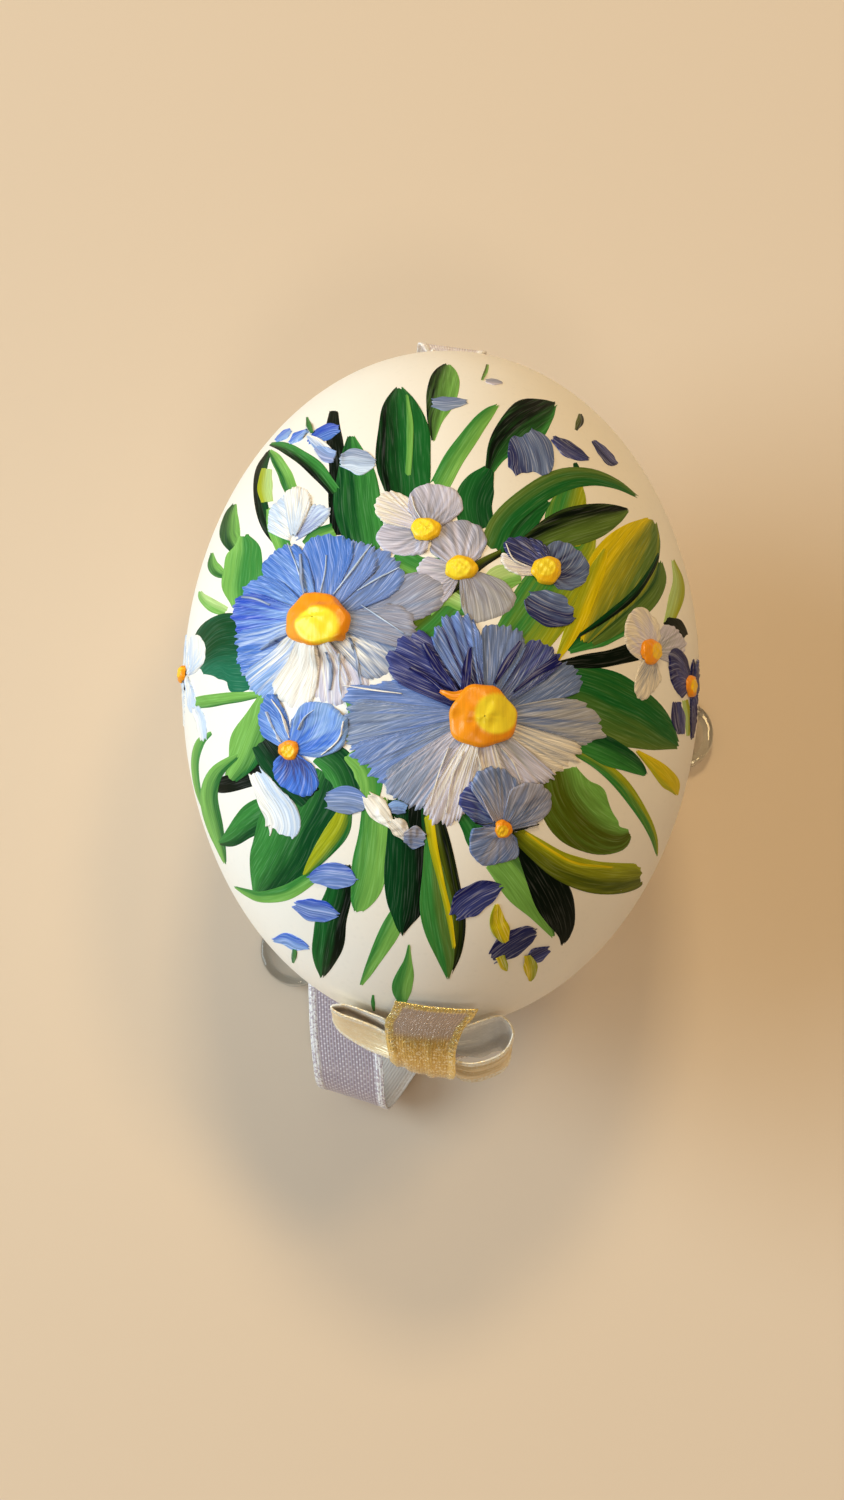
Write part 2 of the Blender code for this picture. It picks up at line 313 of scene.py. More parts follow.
def weave_satin(group, given):
    """Satin with a fine lengthwise rib, its edge threads wound with tiny bright flakes. Rows of bright dots
    can show in the weave, metal thread can be woven in, and the ribbon can start in another tint."""
    place = add_node(group, "UVMap", uv_map="ribbon").outputs["UV"]
    across, along, _ = add_node(group, "SeparateXYZ", {"Vector": place}).outputs

    def wave(distance, pitch):
        return add_math(group, "COSINE", add_math(group, "MULTIPLY", distance, 2 * math.pi / pitch))

    rib = wave(across, RIBBON_WIDTH / MM / RIB_COUNT)
    yarn = add_noise(group, place, (9.0, 1.4, 1.0), 3.0)
    satin = add_mix(group, add_math(group, "MULTIPLY_ADD", rib, 0.16, yarn), given["Deep"], given["Middle"])
    flakes = add_node(group, "TexVoronoi", {"Vector": place, "Scale": FLAKES_PER_MM}).outputs["Color"]
    red, green, blue = add_node(group, "SeparateColor", {"Color": flakes}).outputs
    satin = add_mix(group, add_ramp(group, blue, 0.72, 0.92, 0.0, given["Metal"]), satin, given["Thread"])
    past_start = add_math(group, "SUBTRACT", along, given["Start Length"])
    satin = add_mix(group, add_ramp(group, past_start, -0.5, 0.5), given["Start"], satin)
    dot = add_math(group, "MULTIPLY", wave(across, DOT_PITCH), wave(along, DOT_PITCH * 0.75))
    satin = add_mix(group, add_ramp(group, dot, 0.35, 0.75, 0.0, given["Dots"]), satin, given["Thread"])

    from_middle = add_math(group, "SUBTRACT", across, RIBBON_WIDTH / MM / 2)
    edge_start = (RIBBON_WIDTH / 2 - EDGE_THREAD) / MM
    edge = add_ramp(group, add_math(group, "ABSOLUTE", from_middle), edge_start - 0.12, edge_start + 0.12)
    edge = add_math(group, "MAXIMUM", edge, add_ramp(group, along, 0.3, 0.6, given["Hem"], 0.0))
    glint = add_math(group, "MULTIPLY_ADD", given["Metal"], -0.6, red)
    glitter = add_mix(group, add_ramp(group, glint, 0.15, 0.5), given["Middle"], given["Thread"])
    satin_roughness = add_math(group, "MULTIPLY_ADD", given["Metal"], -0.12, 0.36)
    flake_depth = add_ramp(group, edge, 0.0, 1.0, add_math(group, "MULTIPLY", given["Metal"], 0.6), 1.0)
    flake_relief = add_math(group, "MULTIPLY", green, flake_depth)
    return {
        "Color": add_mix(group, edge, satin, glitter),
        "Roughness": add_ramp(group, edge, 0.0, 1.0, satin_roughness, 0.20),
        "Height": add_math(group, "MULTIPLY_ADD", yarn, 0.35, flake_relief),
    }


woven_satin = new_group(
    "woven_satin",
    ("Middle", "Deep", "Thread", "Start"),
    ("Start Length", "Hem", "Dots", "Metal"),
    weave_satin,
)


def new_material(name, group=None, inputs=None):
    """A material, its tree and its shader, with a group placed in it where one is given."""
    material = bpy.data.materials.new(name)
    material.use_nodes = True
    tree = material.node_tree
    effect = None
    if group:
        effect = add_node(tree, "Group", node_tree=group)
        for label, value in inputs.items():
            effect.inputs[label].default_value = value
    return material, tree, tree.nodes["Principled BSDF"], effect


def finish_surface(tree, shader, colour_socket, height, strength, distance):
    """Links the colour and the relief of a surface to its shader."""
    bump = add_node(tree, "Bump", {"Height": height, "Strength": strength, "Distance": distance})
    tree.links.new(colour_socket, shader.inputs["Base Color"])
    tree.links.new(bump.outputs["Normal"], shader.inputs["Normal"])


def satin_material(name, middle, deep, thread, dots=0.0, metal=0.0, start=None, start_length=-10.0):
    """Satin ribbon in the given tints, which on the bow and on the backs are partly painted lamplight. One
    with a start tint has a glittering hem at that end too.
    """
    inputs = {"Start Length": start_length, "Hem": 1.0 if start else 0.0, "Dots": dots, "Metal": metal}
    tints = {"Middle": middle, "Deep": deep, "Thread": thread, "Start": start or middle}
    inputs.update((label, (*colour(tint), 1.0)) for label, tint in tints.items())
    material, tree, shader, satin = new_material(name, woven_satin, inputs)
    finish_surface(tree, shader, satin.outputs["Color"], satin.outputs["Height"], 0.8, 0.06 * MM)
    tree.links.new(satin.outputs["Roughness"], shader.inputs["Roughness"])
    shader.inputs["Metallic"].default_value = metal
    shader.inputs["Specular IOR Level"].default_value = 0.75
    shader.inputs["Sheen Weight"].default_value = 0.3
    shader.inputs["Sheen Roughness"].default_value = 0.35
    shader.inputs["Sheen Tint"].default_value = (1.0, 0.93, 0.86, 1.0)
    return material


lilac_satin = satin_material("lilac_satin", "c9bdca", "98899b", "fdfcff", dots=0.55)
# painted light: the white back is partly the ribbon's pale back and partly painted daylight that the
# insides of the loops catch
white_satin_with_painted_daylight = satin_material("white_satin_with_painted_daylight", "f6f5f4", "cfd0d2", "ffffff")
middle_line = TABLE_POINT + smooth_path([place for place, _, _ in HANGER], HANGER_STEPS) * MM
opened = np.minimum(smooth_path([(share,) for _, share, _ in HANGER], HANGER_STEPS), 1.0)
across_loop = unit(smooth_path([side for _, _, side in HANGER], HANGER_STEPS))
half_width = across_loop * opened * RIBBON_WIDTH / 2
hanging_ribbon = ribbon_band(
    "hanging_loop",
    middle_line - half_width,
    middle_line + half_width,
    lilac_satin,
    white_satin_with_painted_daylight,
    pleats=0.25 * MM,
    seed=3,
)
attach(hanging_ribbon, "root")
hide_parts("hanging_ribbon")

# Shell
# A blown hen's egg, painted over with a matt white ground that lets the shell's fine pores show. The whole
# egg is one piece, and its outline is the one that the solid was turned from.
EGG_LENGTH = 60.0 * MM
EGG_WIDTH = 44.4 * MM
EGG_BULGE = 0.4 * MM
EGG_REACH = 34 * MM
EGG_TURN = math.radians(-2.3)
EGG_PITCH = math.radians(-5.4)
SHELL_SEGMENTS = 320
SHELL_RINGS = 240


def shell_radius(along):
    """The egg's radius at a distance along its axis from its middle, blunt end positive."""
    x = -np.asarray(along)
    under = EGG_LENGTH**2 + 8 * EGG_BULGE * x + 4 * EGG_BULGE**2
    return EGG_WIDTH / 2 * np.sqrt(np.maximum(EGG_LENGTH**2 - 4 * x * x, 0.0) / under)


lying = np.array(Matrix.Rotation(EGG_TURN, 3, "Z") @ Matrix.Rotation(EGG_PITCH, 3, "X"))
outline_turn = np.linspace(0.0, math.pi, 4001)
outline_along = EGG_LENGTH / 2 * np.cos(outline_turn)
outline_radius = shell_radius(outline_along)
outline_radius[[0, -1]] = 0.0
outline_angle = np.arctan2(outline_radius, outline_along)
outline_reach = np.hypot(outline_radius, outline_along)
outline_normal = unit(np.stack([-np.gradient(outline_along), np.gradient(outline_radius)], axis=-1))


def on_shell(points):
    """Moves points straight out from the egg's middle onto its shell, with the shell's normals there."""
    points = np.asarray(points, float)
    local = (points - EGG_CENTRE) @ lying
    ring = np.maximum(np.hypot(local[..., 0], local[..., 2]), 1e-9)
    angle = np.arctan2(ring, local[..., 1])
    reach = np.interp(angle, outline_angle, outline_reach)
    local_point = unit(local) * reach[..., None]
    outward = np.interp(angle, outline_angle, outline_normal[:, 0])
    endward = np.interp(angle, outline_angle, outline_normal[:, 1])
    normal = np.stack([outward * local[..., 0] / ring, endward, outward * local[..., 2] / ring], axis=-1)
    return EGG_CENTRE + local_point @ lying.T, normal @ lying.T


def shell_material():
    """Matt white ground on eggshell: warm and cool patches too faint to name, and scattered pores."""
    material, tree, shader, _ = new_material("painted_eggshell")
    place = add_node(tree, "TexCoord").outputs["Object"]
    cloud = add_node(tree, "TexNoise", {"Vector": place, "Scale": 70.0, "Detail": 4.0}).outputs["Fac"]
    ground = add_mix(tree, cloud, (*colour("f4eee4"), 1.0), (*colour("faf8f4"), 1.0))
    pores = add_node(tree, "TexVoronoi", {"Vector": place, "Scale": 1300.0}).outputs["Distance"]
    pit = add_ramp(tree, pores, 0.05, 0.30, smooth=False)
    grain = add_node(tree, "TexNoise", {"Vector": place, "Scale": 900.0, "Detail": 2.0}).outputs["Fac"]
    pitted = add_mix(tree, 0.03, ground, pit, blend="MULTIPLY")
    finish_surface(tree, shader, pitted, add_math(tree, "ADD", grain, pit), 0.25, 0.012 * MM)
    shader.inputs["Roughness"].default_value = 0.42
    shader.inputs["Specular IOR Level"].default_value = 0.45
    return material


bpy.ops.object.select_all(action="DESELECT")
bpy.ops.mesh.primitive_uv_sphere_add(segments=SHELL_SEGMENTS, ring_count=SHELL_RINGS, radius=1.0)
shell = bpy.context.object
shell.name = "shell"
sphere = np.array([v.co for v in shell.data.vertices])
shell_points, _ = on_shell(EGG_CENTRE + sphere[:, [0, 2, 1]] * np.array([1, 1, -1]) @ lying.T * EGG_WIDTH)
shell.data.vertices.foreach_set("co", shell_points.astype(np.float32).ravel())
shell.data.update()
shell.data.shade_smooth()
shell.data.materials.append(shell_material())
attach(shell, "root")
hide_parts("egg")

# Painted leaves
# The spray is painted straight onto the white ground in acrylic, leaves first: each is one pull of a flat
# brush loaded with dark green on one edge and light green on the other, a thin film that shows its streaks.
PAINT_CELL = 0.5 * MM
PAINT_CORNER = EGG_CENTRE - EGG_REACH
PAINT_CELLS = 138
TUCK = 0.01 * MM
HALVINGS = 17
LEAF_FILM = 0.014 * MM
LEAF_ROWS = 36
STROKE_COLUMNS = 19
STROKE_STEPS = 12
STROKE_SWAY = 0.045
ARC_RADIUS = 22.2
BLACK_GREEN = "07130a"
DEEP_GREEN = "0b4420"
LEAF_GREEN = "1b642b"
MID_GREEN = "3a863c"
LIGHT_GREEN = "79b354"
PALE_GREEN = "b5d388"
SEA_GREEN = "1f6f52"
OLIVE_GREEN = "5d7a34"
OLIVE = "505f10"
YELLOW_GREEN = "a3ac1e"
YELLOW = "dcc810"
paint_height = np.zeros((PAINT_CELLS, PAINT_CELLS, PAINT_CELLS))
hand = np.random.default_rng(11)


def seen(spots):
    """The places on the shell that lie behind points of the picture."""
    spots = np.asarray(spots, float)
    sideways = view_right * (spots[..., :1] - PICTURE_WIDTH / 2)
    upward = view_up * (PICTURE_HEIGHT / 2 - spots[..., 1:])
    ray = unit((sideways + upward) / FOCAL_LENGTH_PX - view_back)
    far = ray @ (EGG_CENTRE - eye)
    near = far - EGG_REACH
    for _ in range(HALVINGS):
        middle = (near + far) / 2
        point = eye + ray * middle[..., None]
        surface, _ = on_shell(point)
        inside = np.linalg.norm(point - EGG_CENTRE, axis=-1) < np.linalg.norm(surface - EGG_CENTRE, axis=-1)
        far = np.where(inside, middle, far)
        near = np.where(inside, near, middle)
    return on_shell(eye + ray * far[..., None])[0]


def around(spots):
    """Places on the shell by millimetres round it, from the top towards the right, and along it, towards
    the blunt end: for the sides that the picture doesn't show."""
    spots = np.asarray(spots, float)
    turn = spots[..., 0] / ARC_RADIUS
    along = spots[..., 1] * MM
    radius = shell_radius(along)
    local = np.stack([radius * np.sin(turn), along, radius * np.cos(turn)], axis=-1)
    return EGG_CENTRE + local @ lying.T


def blurred(values):
    for _ in range(2):
        wide = np.pad(values, 1, mode="edge")
        values = (wide[:-2, 1:-1] + wide[2:, 1:-1] + wide[1:-1, :-2] + wide[1:-1, 2:] + values) / 5
    return values


def smooth_step(values, low, high):
    share = np.clip((values - low) / (high - low), 0.0, 1.0)
    return share * share * (3 - 2 * share)


def bristles(rows, columns, count=7):
    """Soft ridges that run down a stroke, from a few waves with seeded phases, between about -1 and 1."""
    across = np.linspace(0, 1, columns)[None, :]
    down = np.linspace(0, 1, rows)[:, None]
    ridges = np.zeros((rows, columns))
    for _ in range(count):
        pitch = hand.uniform(1.0, columns / 3.0)
        bend = hand.uniform(-0.3, 0.3)
        ridges += np.sin((across * pitch + bend * down + hand.uniform(0, 1)) * 2 * math.pi)
    return ridges / math.sqrt(count)


class Coat:
    """Brush strokes of one group, gathered into a single mesh of paint that lies on the shell."""

    def __init__(self):
        self.points, self.quads, self.flat, self.first, self.second, self.tone = [], [], [], [], [], []
        self.count = 0

    def lay(self, sheet, film, tone, first, second, flat, closed=False):
        """Lays a sheet of paint over whatever paint is already there, its border down on it."""
        rows, columns = sheet.shape[:2]
        surface, normal = on_shell(sheet)
        cell = ((surface - PAINT_CORNER) / PAINT_CELL).astype(int)
        under = paint_height[cell[..., 0], cell[..., 1], cell[..., 2]]
        base = under.copy()
        for step in np.ndindex(3, 3, 3):
            beside = cell + np.array(step) - 1
            base = np.maximum(base, paint_height[beside[..., 0], beside[..., 1], beside[..., 2]])
        base = np.maximum(blurred(base), under)
        height = base + film
        np.maximum.at(paint_height, (cell[..., 0], cell[..., 1], cell[..., 2]), height)
        border = np.zeros((rows, columns), bool)
        border[0, :] = True
        if not closed:
            border[-1, :] = True
            border[:, [0, -1]] = True
        height[border] = under[border] - TUCK
        index = np.arange(rows * columns).reshape(rows, columns) + self.count
        quads = [index[:-1, :-1], index[:-1, 1:], index[1:, 1:], index[1:, :-1]]
        self.quads.append(np.stack(quads, axis=-1).reshape(-1, 4))
        self.points.append((surface + normal * height[..., None]).reshape(-1, 3))
        self.flat.append(flat.reshape(-1, 2))
        self.tone.append(np.broadcast_to(tone, (rows, columns)).ravel())
        for store, paint in ((self.first, first), (self.second, second)):
            store.append(np.broadcast_to([*colour(paint), 1.0], (rows * columns, 4)))
        self.count += rows * columns

    def dry(self, name, material):
        """Turns the gathered strokes into a piece that rides with the egg."""
        mesh = bpy.data.meshes.new(name)
        quads = np.concatenate(self.quads)
        mesh.from_pydata(np.concatenate(self.points).tolist(), [], quads.tolist())
        layer = mesh.uv_layers.new(name="stroke")
        flat = np.concatenate(self.flat)[quads.ravel()]
        layer.uv.foreach_set("vector", flat.astype(np.float32).ravel())
        for label, values in (("first_paint", self.first), ("second_paint", self.second)):
            attribute = mesh.attributes.new(label, "FLOAT_COLOR", "POINT")
            attribute.data.foreach_set("color", np.concatenate(values).astype(np.float32).ravel())
        attribute = mesh.attributes.new("tone", "FLOAT", "POINT")
        attribute.data.foreach_set("value", np.concatenate(self.tone).astype(np.float32))
        mesh.shade_smooth()
        piece = add_piece(name, mesh, material)
        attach(piece, "root")
        return piece


def stroke(coat, route, first, second, split=0.0, soft=0.7, film=LEAF_FILM, ragged=0.02, place=seen):
    """One pull of the brush. The route gives points and the stroke's width at each. The first paint fills
    the left side, looking along the route, up to the split, and the second the rest. The split goes from
    -1 to 1 across the stroke."""
    pull = smooth_path(route, STROKE_STEPS)
    course = unit(np.gradient(pull[:, :2], axis=0))
    length = np.concatenate([[0.0], np.cumsum(np.linalg.norm(np.diff(pull[:, :2], axis=0), axis=1))])
    across = np.sin(np.linspace(-math.pi / 2, math.pi / 2, STROKE_COLUMNS))
    streaks = bristles(LEAF_ROWS, STROKE_COLUMNS)
    fingers = np.convolve(hand.uniform(-1.2, 1.2, STROKE_COLUMNS), (0.3, 0.5, 0.3), "same")
    share = np.linspace(0, 1, LEAF_ROWS)
    share = 0.5 - 0.5 * np.cos(share * math.pi) * (0.6 + 0.4 * np.abs(np.cos(share * math.pi)))
    reach = share[:, None] * (1.0 + ragged * fingers) - ragged * fingers[::-1] * (1.0 - share[:, None])
    reach = reach * length[-1]
    x, y, width = (np.interp(reach, length, pull[:, k]) for k in range(3))
    over = np.maximum(reach - length[-1], 0.0) + np.minimum(reach, 0.0)
    course_x, course_y = (np.interp(reach, length, course[:, k]) for k in range(2))
    sway = share[:, None] * hand.uniform(7, 15) + np.sign(across) * hand.uniform(1, 3)
    aside = np.clip(width, 0.0, None) / 2 * across * (1.0 + STROKE_SWAY * np.sin(sway))
    x = x + course_x * over - course_y * aside
    y = y + course_y * over + course_x * aside
    sheet = place(np.stack([x, y], axis=-1))
    tone = smooth_step(across + 0 * share[:, None], split - soft, split + soft) + 0.16 * streaks
    width = np.linalg.norm(sheet[:, -1] - sheet[:, 0], axis=-1) / MM
    middle = sheet[:, STROKE_COLUMNS // 2]
    run = np.concatenate([[0.0], np.cumsum(np.linalg.norm(np.diff(middle, axis=0), axis=1))]) / MM
    offset = hand.uniform(0, 100, 2)
    u = across * np.maximum(width, 0.5 * width.max())[:, None] / 2 + offset[0]
    flat = np.stack(np.broadcast_arrays(u, run[:, None] + offset[1]), axis=-1)
    coat.lay(sheet, film * (1.0 + 0.3 * streaks), np.clip(tone, 0, 1), first, second, flat)


def brush_paint(group, given):
    """Two paints that run into each other along the marks that bristles leave: broad streaks where they
    mix, fine ones that are lighter and darker, and white left in the bristles."""
    place = add_node(group, "UVMap", uv_map="stroke").outputs["UV"]
    broad = add_noise(group, place, (2.4, 0.14, 1.0), 4.0, Roughness=0.62)
    fine = add_noise(group, place, (7.5, 0.26, 1.0), 2.0, Roughness=0.62)
    first = add_node(group, "Attribute", attribute_name="first_paint").outputs["Color"]
    second = add_node(group, "Attribute", attribute_name="second_paint").outputs["Color"]
    tone = add_node(group, "Attribute", attribute_name="tone").outputs["Fac"]
    centred = add_math(group, "SUBTRACT", broad, 0.5)
    mixed = add_math(group, "MULTIPLY_ADD", centred, given["Mixing"], tone, clamped=True)
    paint = add_mix(group, mixed, first, second)
    dark = add_math(group, "SUBTRACT", 1.0, given["Contrast"])
    light = add_math(group, "ADD", 1.0, given["Contrast"])
    depth = add_ramp(group, fine, 0.3, 0.7, dark, light, smooth=False)
    streaked = add_mix(group, 1.0, paint, depth, blend="MULTIPLY")
    streak = add_ramp(group, fine, 0.52, 0.72, 0.0, given["White"], smooth=False)
    return {"Color": add_mix(group, streak, streaked, (*colour("f2f3f8"), 1.0)), "Height": fine}


brushed_paint = new_group("brushed_paint", (), ("Mixing", "Contrast", "White"), brush_paint)


def paint_material(name, mixing, relief, roughness, contrast, gloss, white=0.0):
    """Acrylic paint, its relief in millimetres."""
    inputs = {"Mixing": mixing, "Contrast": contrast, "White": white}
    material, tree, shader, paint = new_material(name, brushed_paint, inputs)
    finish_surface(tree, shader, paint.outputs["Color"], paint.outputs["Height"], 1.0, relief * MM)
    shader.inputs["Roughness"].default_value = roughness
    shader.inputs["Specular IOR Level"].default_value = gloss
    return material


leaf_paint = paint_material(
    "leaf_paint", mixing=1.05, relief=0.012, roughness=0.42, contrast=0.20, gloss=0.04, white=0.05
)

# leaves at the blunt end, left of the middle
upper_leaves = Coat()
for route, first, second, split in (
    (((433, 441, 3), (435, 420, 16), (441, 400, 30), (444, 382, 31), (446, 371, 22), (447, 364, 6)),
     BLACK_GREEN, LIGHT_GREEN, 0.1),
    (((439, 486, 20), (455, 458, 20), (474, 430, 17), (488, 414, 12), (498, 405, 3)),
     MID_GREEN, LIGHT_GREEN, 0.0),
    (((407, 500, 40), (405, 470, 54), (403, 440, 54), (401, 415, 44), (400, 400, 30), (399, 387, 7)),
     BLACK_GREEN, LEAF_GREEN, -0.35),
    (((337, 535, 14), (338, 500, 20), (337, 470, 15), (335, 445, 17), (333, 428, 15), (334, 411, 9)),
     BLACK_GREEN, BLACK_GREEN, 0.0),
    (((366, 556, 24), (362, 530, 44), (358, 503, 48), (356, 478, 40), (353, 456, 26), (351, 436, 7)),
     DEEP_GREEN, MID_GREEN, 0.0),
    (((335, 492, 12), (317, 470, 16), (298, 455, 14), (283, 447, 10), (269, 444, 3)),
     BLACK_GREEN, MID_GREEN, -0.1),
    (((284, 553, 4), (268, 527, 12), (260, 497, 13), (261, 472, 12), (269, 452, 4)),
     BLACK_GREEN, DEEP_GREEN, 0.0),
    (((283, 548, 16), (276, 525, 18), (272, 508, 12)), LIGHT_GREEN, MID_GREEN, 0.0),
    (((294, 497, 14), (285, 475, 14), (277, 460, 11), (270, 451, 4)), LEAF_GREEN, LIGHT_GREEN, -0.2),
    (((267, 502, 12), (265, 486, 15), (267, 469, 10)), YELLOW_GREEN, PALE_GREEN, 0.0),
    (((246, 562, 4), (236, 548, 14), (230, 534, 21), (231, 517, 15), (235, 504, 4)),
     DEEP_GREEN, LIGHT_GREEN, 0.1),
    (((229, 577, 4), (219, 572, 12), (213, 565, 11), (212, 553, 3)), LEAF_GREEN, LIGHT_GREEN, 0.0),
    (((243, 606, 24), (242, 585, 40), (244, 566, 40), (246, 550, 30), (244, 536, 10)),
     LIGHT_GREEN, MID_GREEN, -0.3),
    (((226, 612, 10), (212, 605, 13), (203, 598, 9), (200, 591, 3)), LIGHT_GREEN, PALE_GREEN, 0.0),
    (((262, 652, 74), (238, 652, 80), (219, 654, 70), (206, 661, 46), (198, 668, 16)),
     SEA_GREEN, DEEP_GREEN, 0.0),
    (((263, 694, 6), (240, 697, 10), (215, 700, 13), (196, 703, 11), (189, 704, 4)),
     LEAF_GREEN, LIGHT_GREEN, -0.6),
):
    stroke(upper_leaves, route, first, second, split)
stroke(upper_leaves, ((407, 395, 3), (410, 430, 7), (408, 475, 6)), LIGHT_GREEN, MID_GREEN, 0.4)
# leaves on the left
for route, first, second, split in (
    (((211, 733, 4), (200, 743, 9), (195, 762, 8), (198, 790, 6), (205, 814, 2)),
     MID_GREEN, LIGHT_GREEN, 0.0),
    (((288, 757, 14), (265, 771, 20), (242, 780, 19), (222, 785, 16), (211, 787, 7)),
     BLACK_GREEN, BLACK_GREEN, 0.0),
    (((264, 698, 12), (258, 720, 30), (250, 741, 38), (242, 761, 30), (231, 778, 14)),
     LEAF_GREEN, LIGHT_GREEN, -0.4),
    (((237, 756, 6), (216, 773, 15), (209, 796, 17), (215, 826, 17), (221, 848, 10), (225, 863, 3)),
     LEAF_GREEN, LIGHT_GREEN, -0.1),
    (((280, 806, 22), (262, 814, 34), (245, 826, 28), (231, 838, 18), (220, 843, 5)),
     DEEP_GREEN, MID_GREEN, 0.0),
    (((320, 772, 40), (306, 805, 62), (291, 835, 72), (277, 862, 60), (265, 882, 34), (256, 896, 8)),
     DEEP_GREEN, MID_GREEN, 0.0),
    (((320, 872, 8), (305, 882, 15), (285, 893, 15), (262, 897, 11), (248, 893, 8), (235, 887, 2)),
     LIGHT_GREEN, MID_GREEN, 0.0),
    (((346, 810, 14), (339, 828, 24), (325, 848, 19), (312, 865, 12), (304, 875, 3)),
     LEAF_GREEN, YELLOW_GREEN, -0.4),
    (((343, 865, 18), (338, 895, 27), (331, 922, 32), (327, 947, 31), (324, 965, 19), (322, 977, 4)),
     BLACK_GREEN, LEAF_GREEN, 0.1),
):
    stroke(upper_leaves, route, first, second, split)
upper_leaves.dry("painted_leaves_left", leaf_paint)

# leaves at the pointed end
lower_leaves = Coat()
for route, first, second, split in (
    (((376, 798, 24), (374, 830, 31), (371, 860, 35), (366, 886, 32), (361, 902, 22), (358, 911, 9)),
     LIGHT_GREEN, MID_GREEN, 0.3),
    (((401, 906, 12), (392, 926, 20), (382, 946, 17), (370, 968, 11), (361, 985, 3)),
     LIGHT_GREEN, MID_GREEN, 0.3),
    (((408, 798, 40), (409, 840, 46), (408, 878, 46), (406, 906, 38), (403, 923, 19), (402, 934, 4)),
     BLACK_GREEN, DEEP_GREEN, 0.0),
    (((418, 800, 12), (417, 815, 17), (416, 827, 12)), BLACK_GREEN, BLACK_GREEN, 0.0),
    (((402, 1003, 8), (402, 990, 20), (405, 975, 18), (408, 960, 8), (409, 945, 2)),
     MID_GREEN, LIGHT_GREEN, 0.0),
    (((426, 800, 9), (427, 825, 11), (428, 852, 6)), OLIVE, DEEP_GREEN, 0.0),
    (((434, 806, 12), (444, 845, 14), (453, 885, 15), (459, 920, 13), (457, 950, 11), (450, 973, 5)),
     BLACK_GREEN, OLIVE, 0.2),
    (((430, 836, 10), (433, 870, 22), (436, 902, 32), (440, 931, 30), (446, 960, 17), (448, 978, 3)),
     OLIVE_GREEN, MID_GREEN, 0.0),
    (((429, 816, 10), (434, 850, 9), (442, 885, 6), (449, 915, 6), (454, 947, 4)),
     YELLOW, YELLOW_GREEN, 0.1),
    (((374, 1011, 2), (373, 1003, 4), (373, 995, 2)), MID_GREEN, MID_GREEN, 0.0),
    (((462, 812, 14), (475, 834, 22), (482, 856, 14)), MID_GREEN, LEAF_GREEN, 0.0),
    (((500, 856, 36), (515, 875, 42), (530, 896, 35), (543, 917, 20), (553, 936, 4)),
     DEEP_GREEN, LIGHT_GREEN, -0.6),
    (((521, 846, 12), (539, 872, 32), (553, 898, 38), (562, 921, 28), (564, 935, 14), (562, 944, 3)),
     BLACK_GREEN, BLACK_GREEN, 0.0),
    (((560, 770, 34), (567, 796, 60), (581, 816, 68), (600, 831, 50), (618, 837, 30), (630, 833, 8)),
     LIGHT_GREEN, OLIVE, -0.35),
    (((515, 832, 14), (535, 848, 22), (560, 866, 28), (590, 876, 32), (618, 878, 32), (636, 876, 26),
      (641, 875, 16)),
     YELLOW_GREEN, OLIVE, -0.1),
    (((525, 833, 4), (548, 850, 5), (575, 864, 5), (612, 868, 3)), YELLOW, YELLOW_GREEN, 0.0),
    (((571, 750, 6), (598, 764, 12), (622, 785, 14), (642, 813, 12), (653, 836, 8), (657, 855, 2)),
     YELLOW_GREEN, MID_GREEN, -0.2),
    (((560, 690, 50), (585, 697, 62), (612, 708, 68), (640, 721, 58), (661, 735, 36), (677, 746, 8)),
     LEAF_GREEN, OLIVE_GREEN, 0.3),
    (((556, 664, 5), (580, 662, 13), (610, 658, 17), (640, 650, 18), (652, 646, 8)),
     BLACK_GREEN, BLACK_GREEN, 0.0),
    (((577, 740, 18), (600, 748, 27), (622, 758, 25), (638, 768, 14), (646, 775, 4)),
     DEEP_GREEN, MID_GREEN, -0.1),
    (((637, 751, 3), (649, 761, 10), (662, 773, 17), (672, 784, 17), (677, 795, 3)),
     YELLOW, YELLOW_GREEN, 0.6),
    (((685, 700, 6), (688, 718, 8), (688, 736, 3)), YELLOW_GREEN, PALE_GREEN, 0.0),
):
    stroke(lower_leaves, route, first, second, split)
lower_leaves.dry("painted_leaves_lower", leaf_paint)

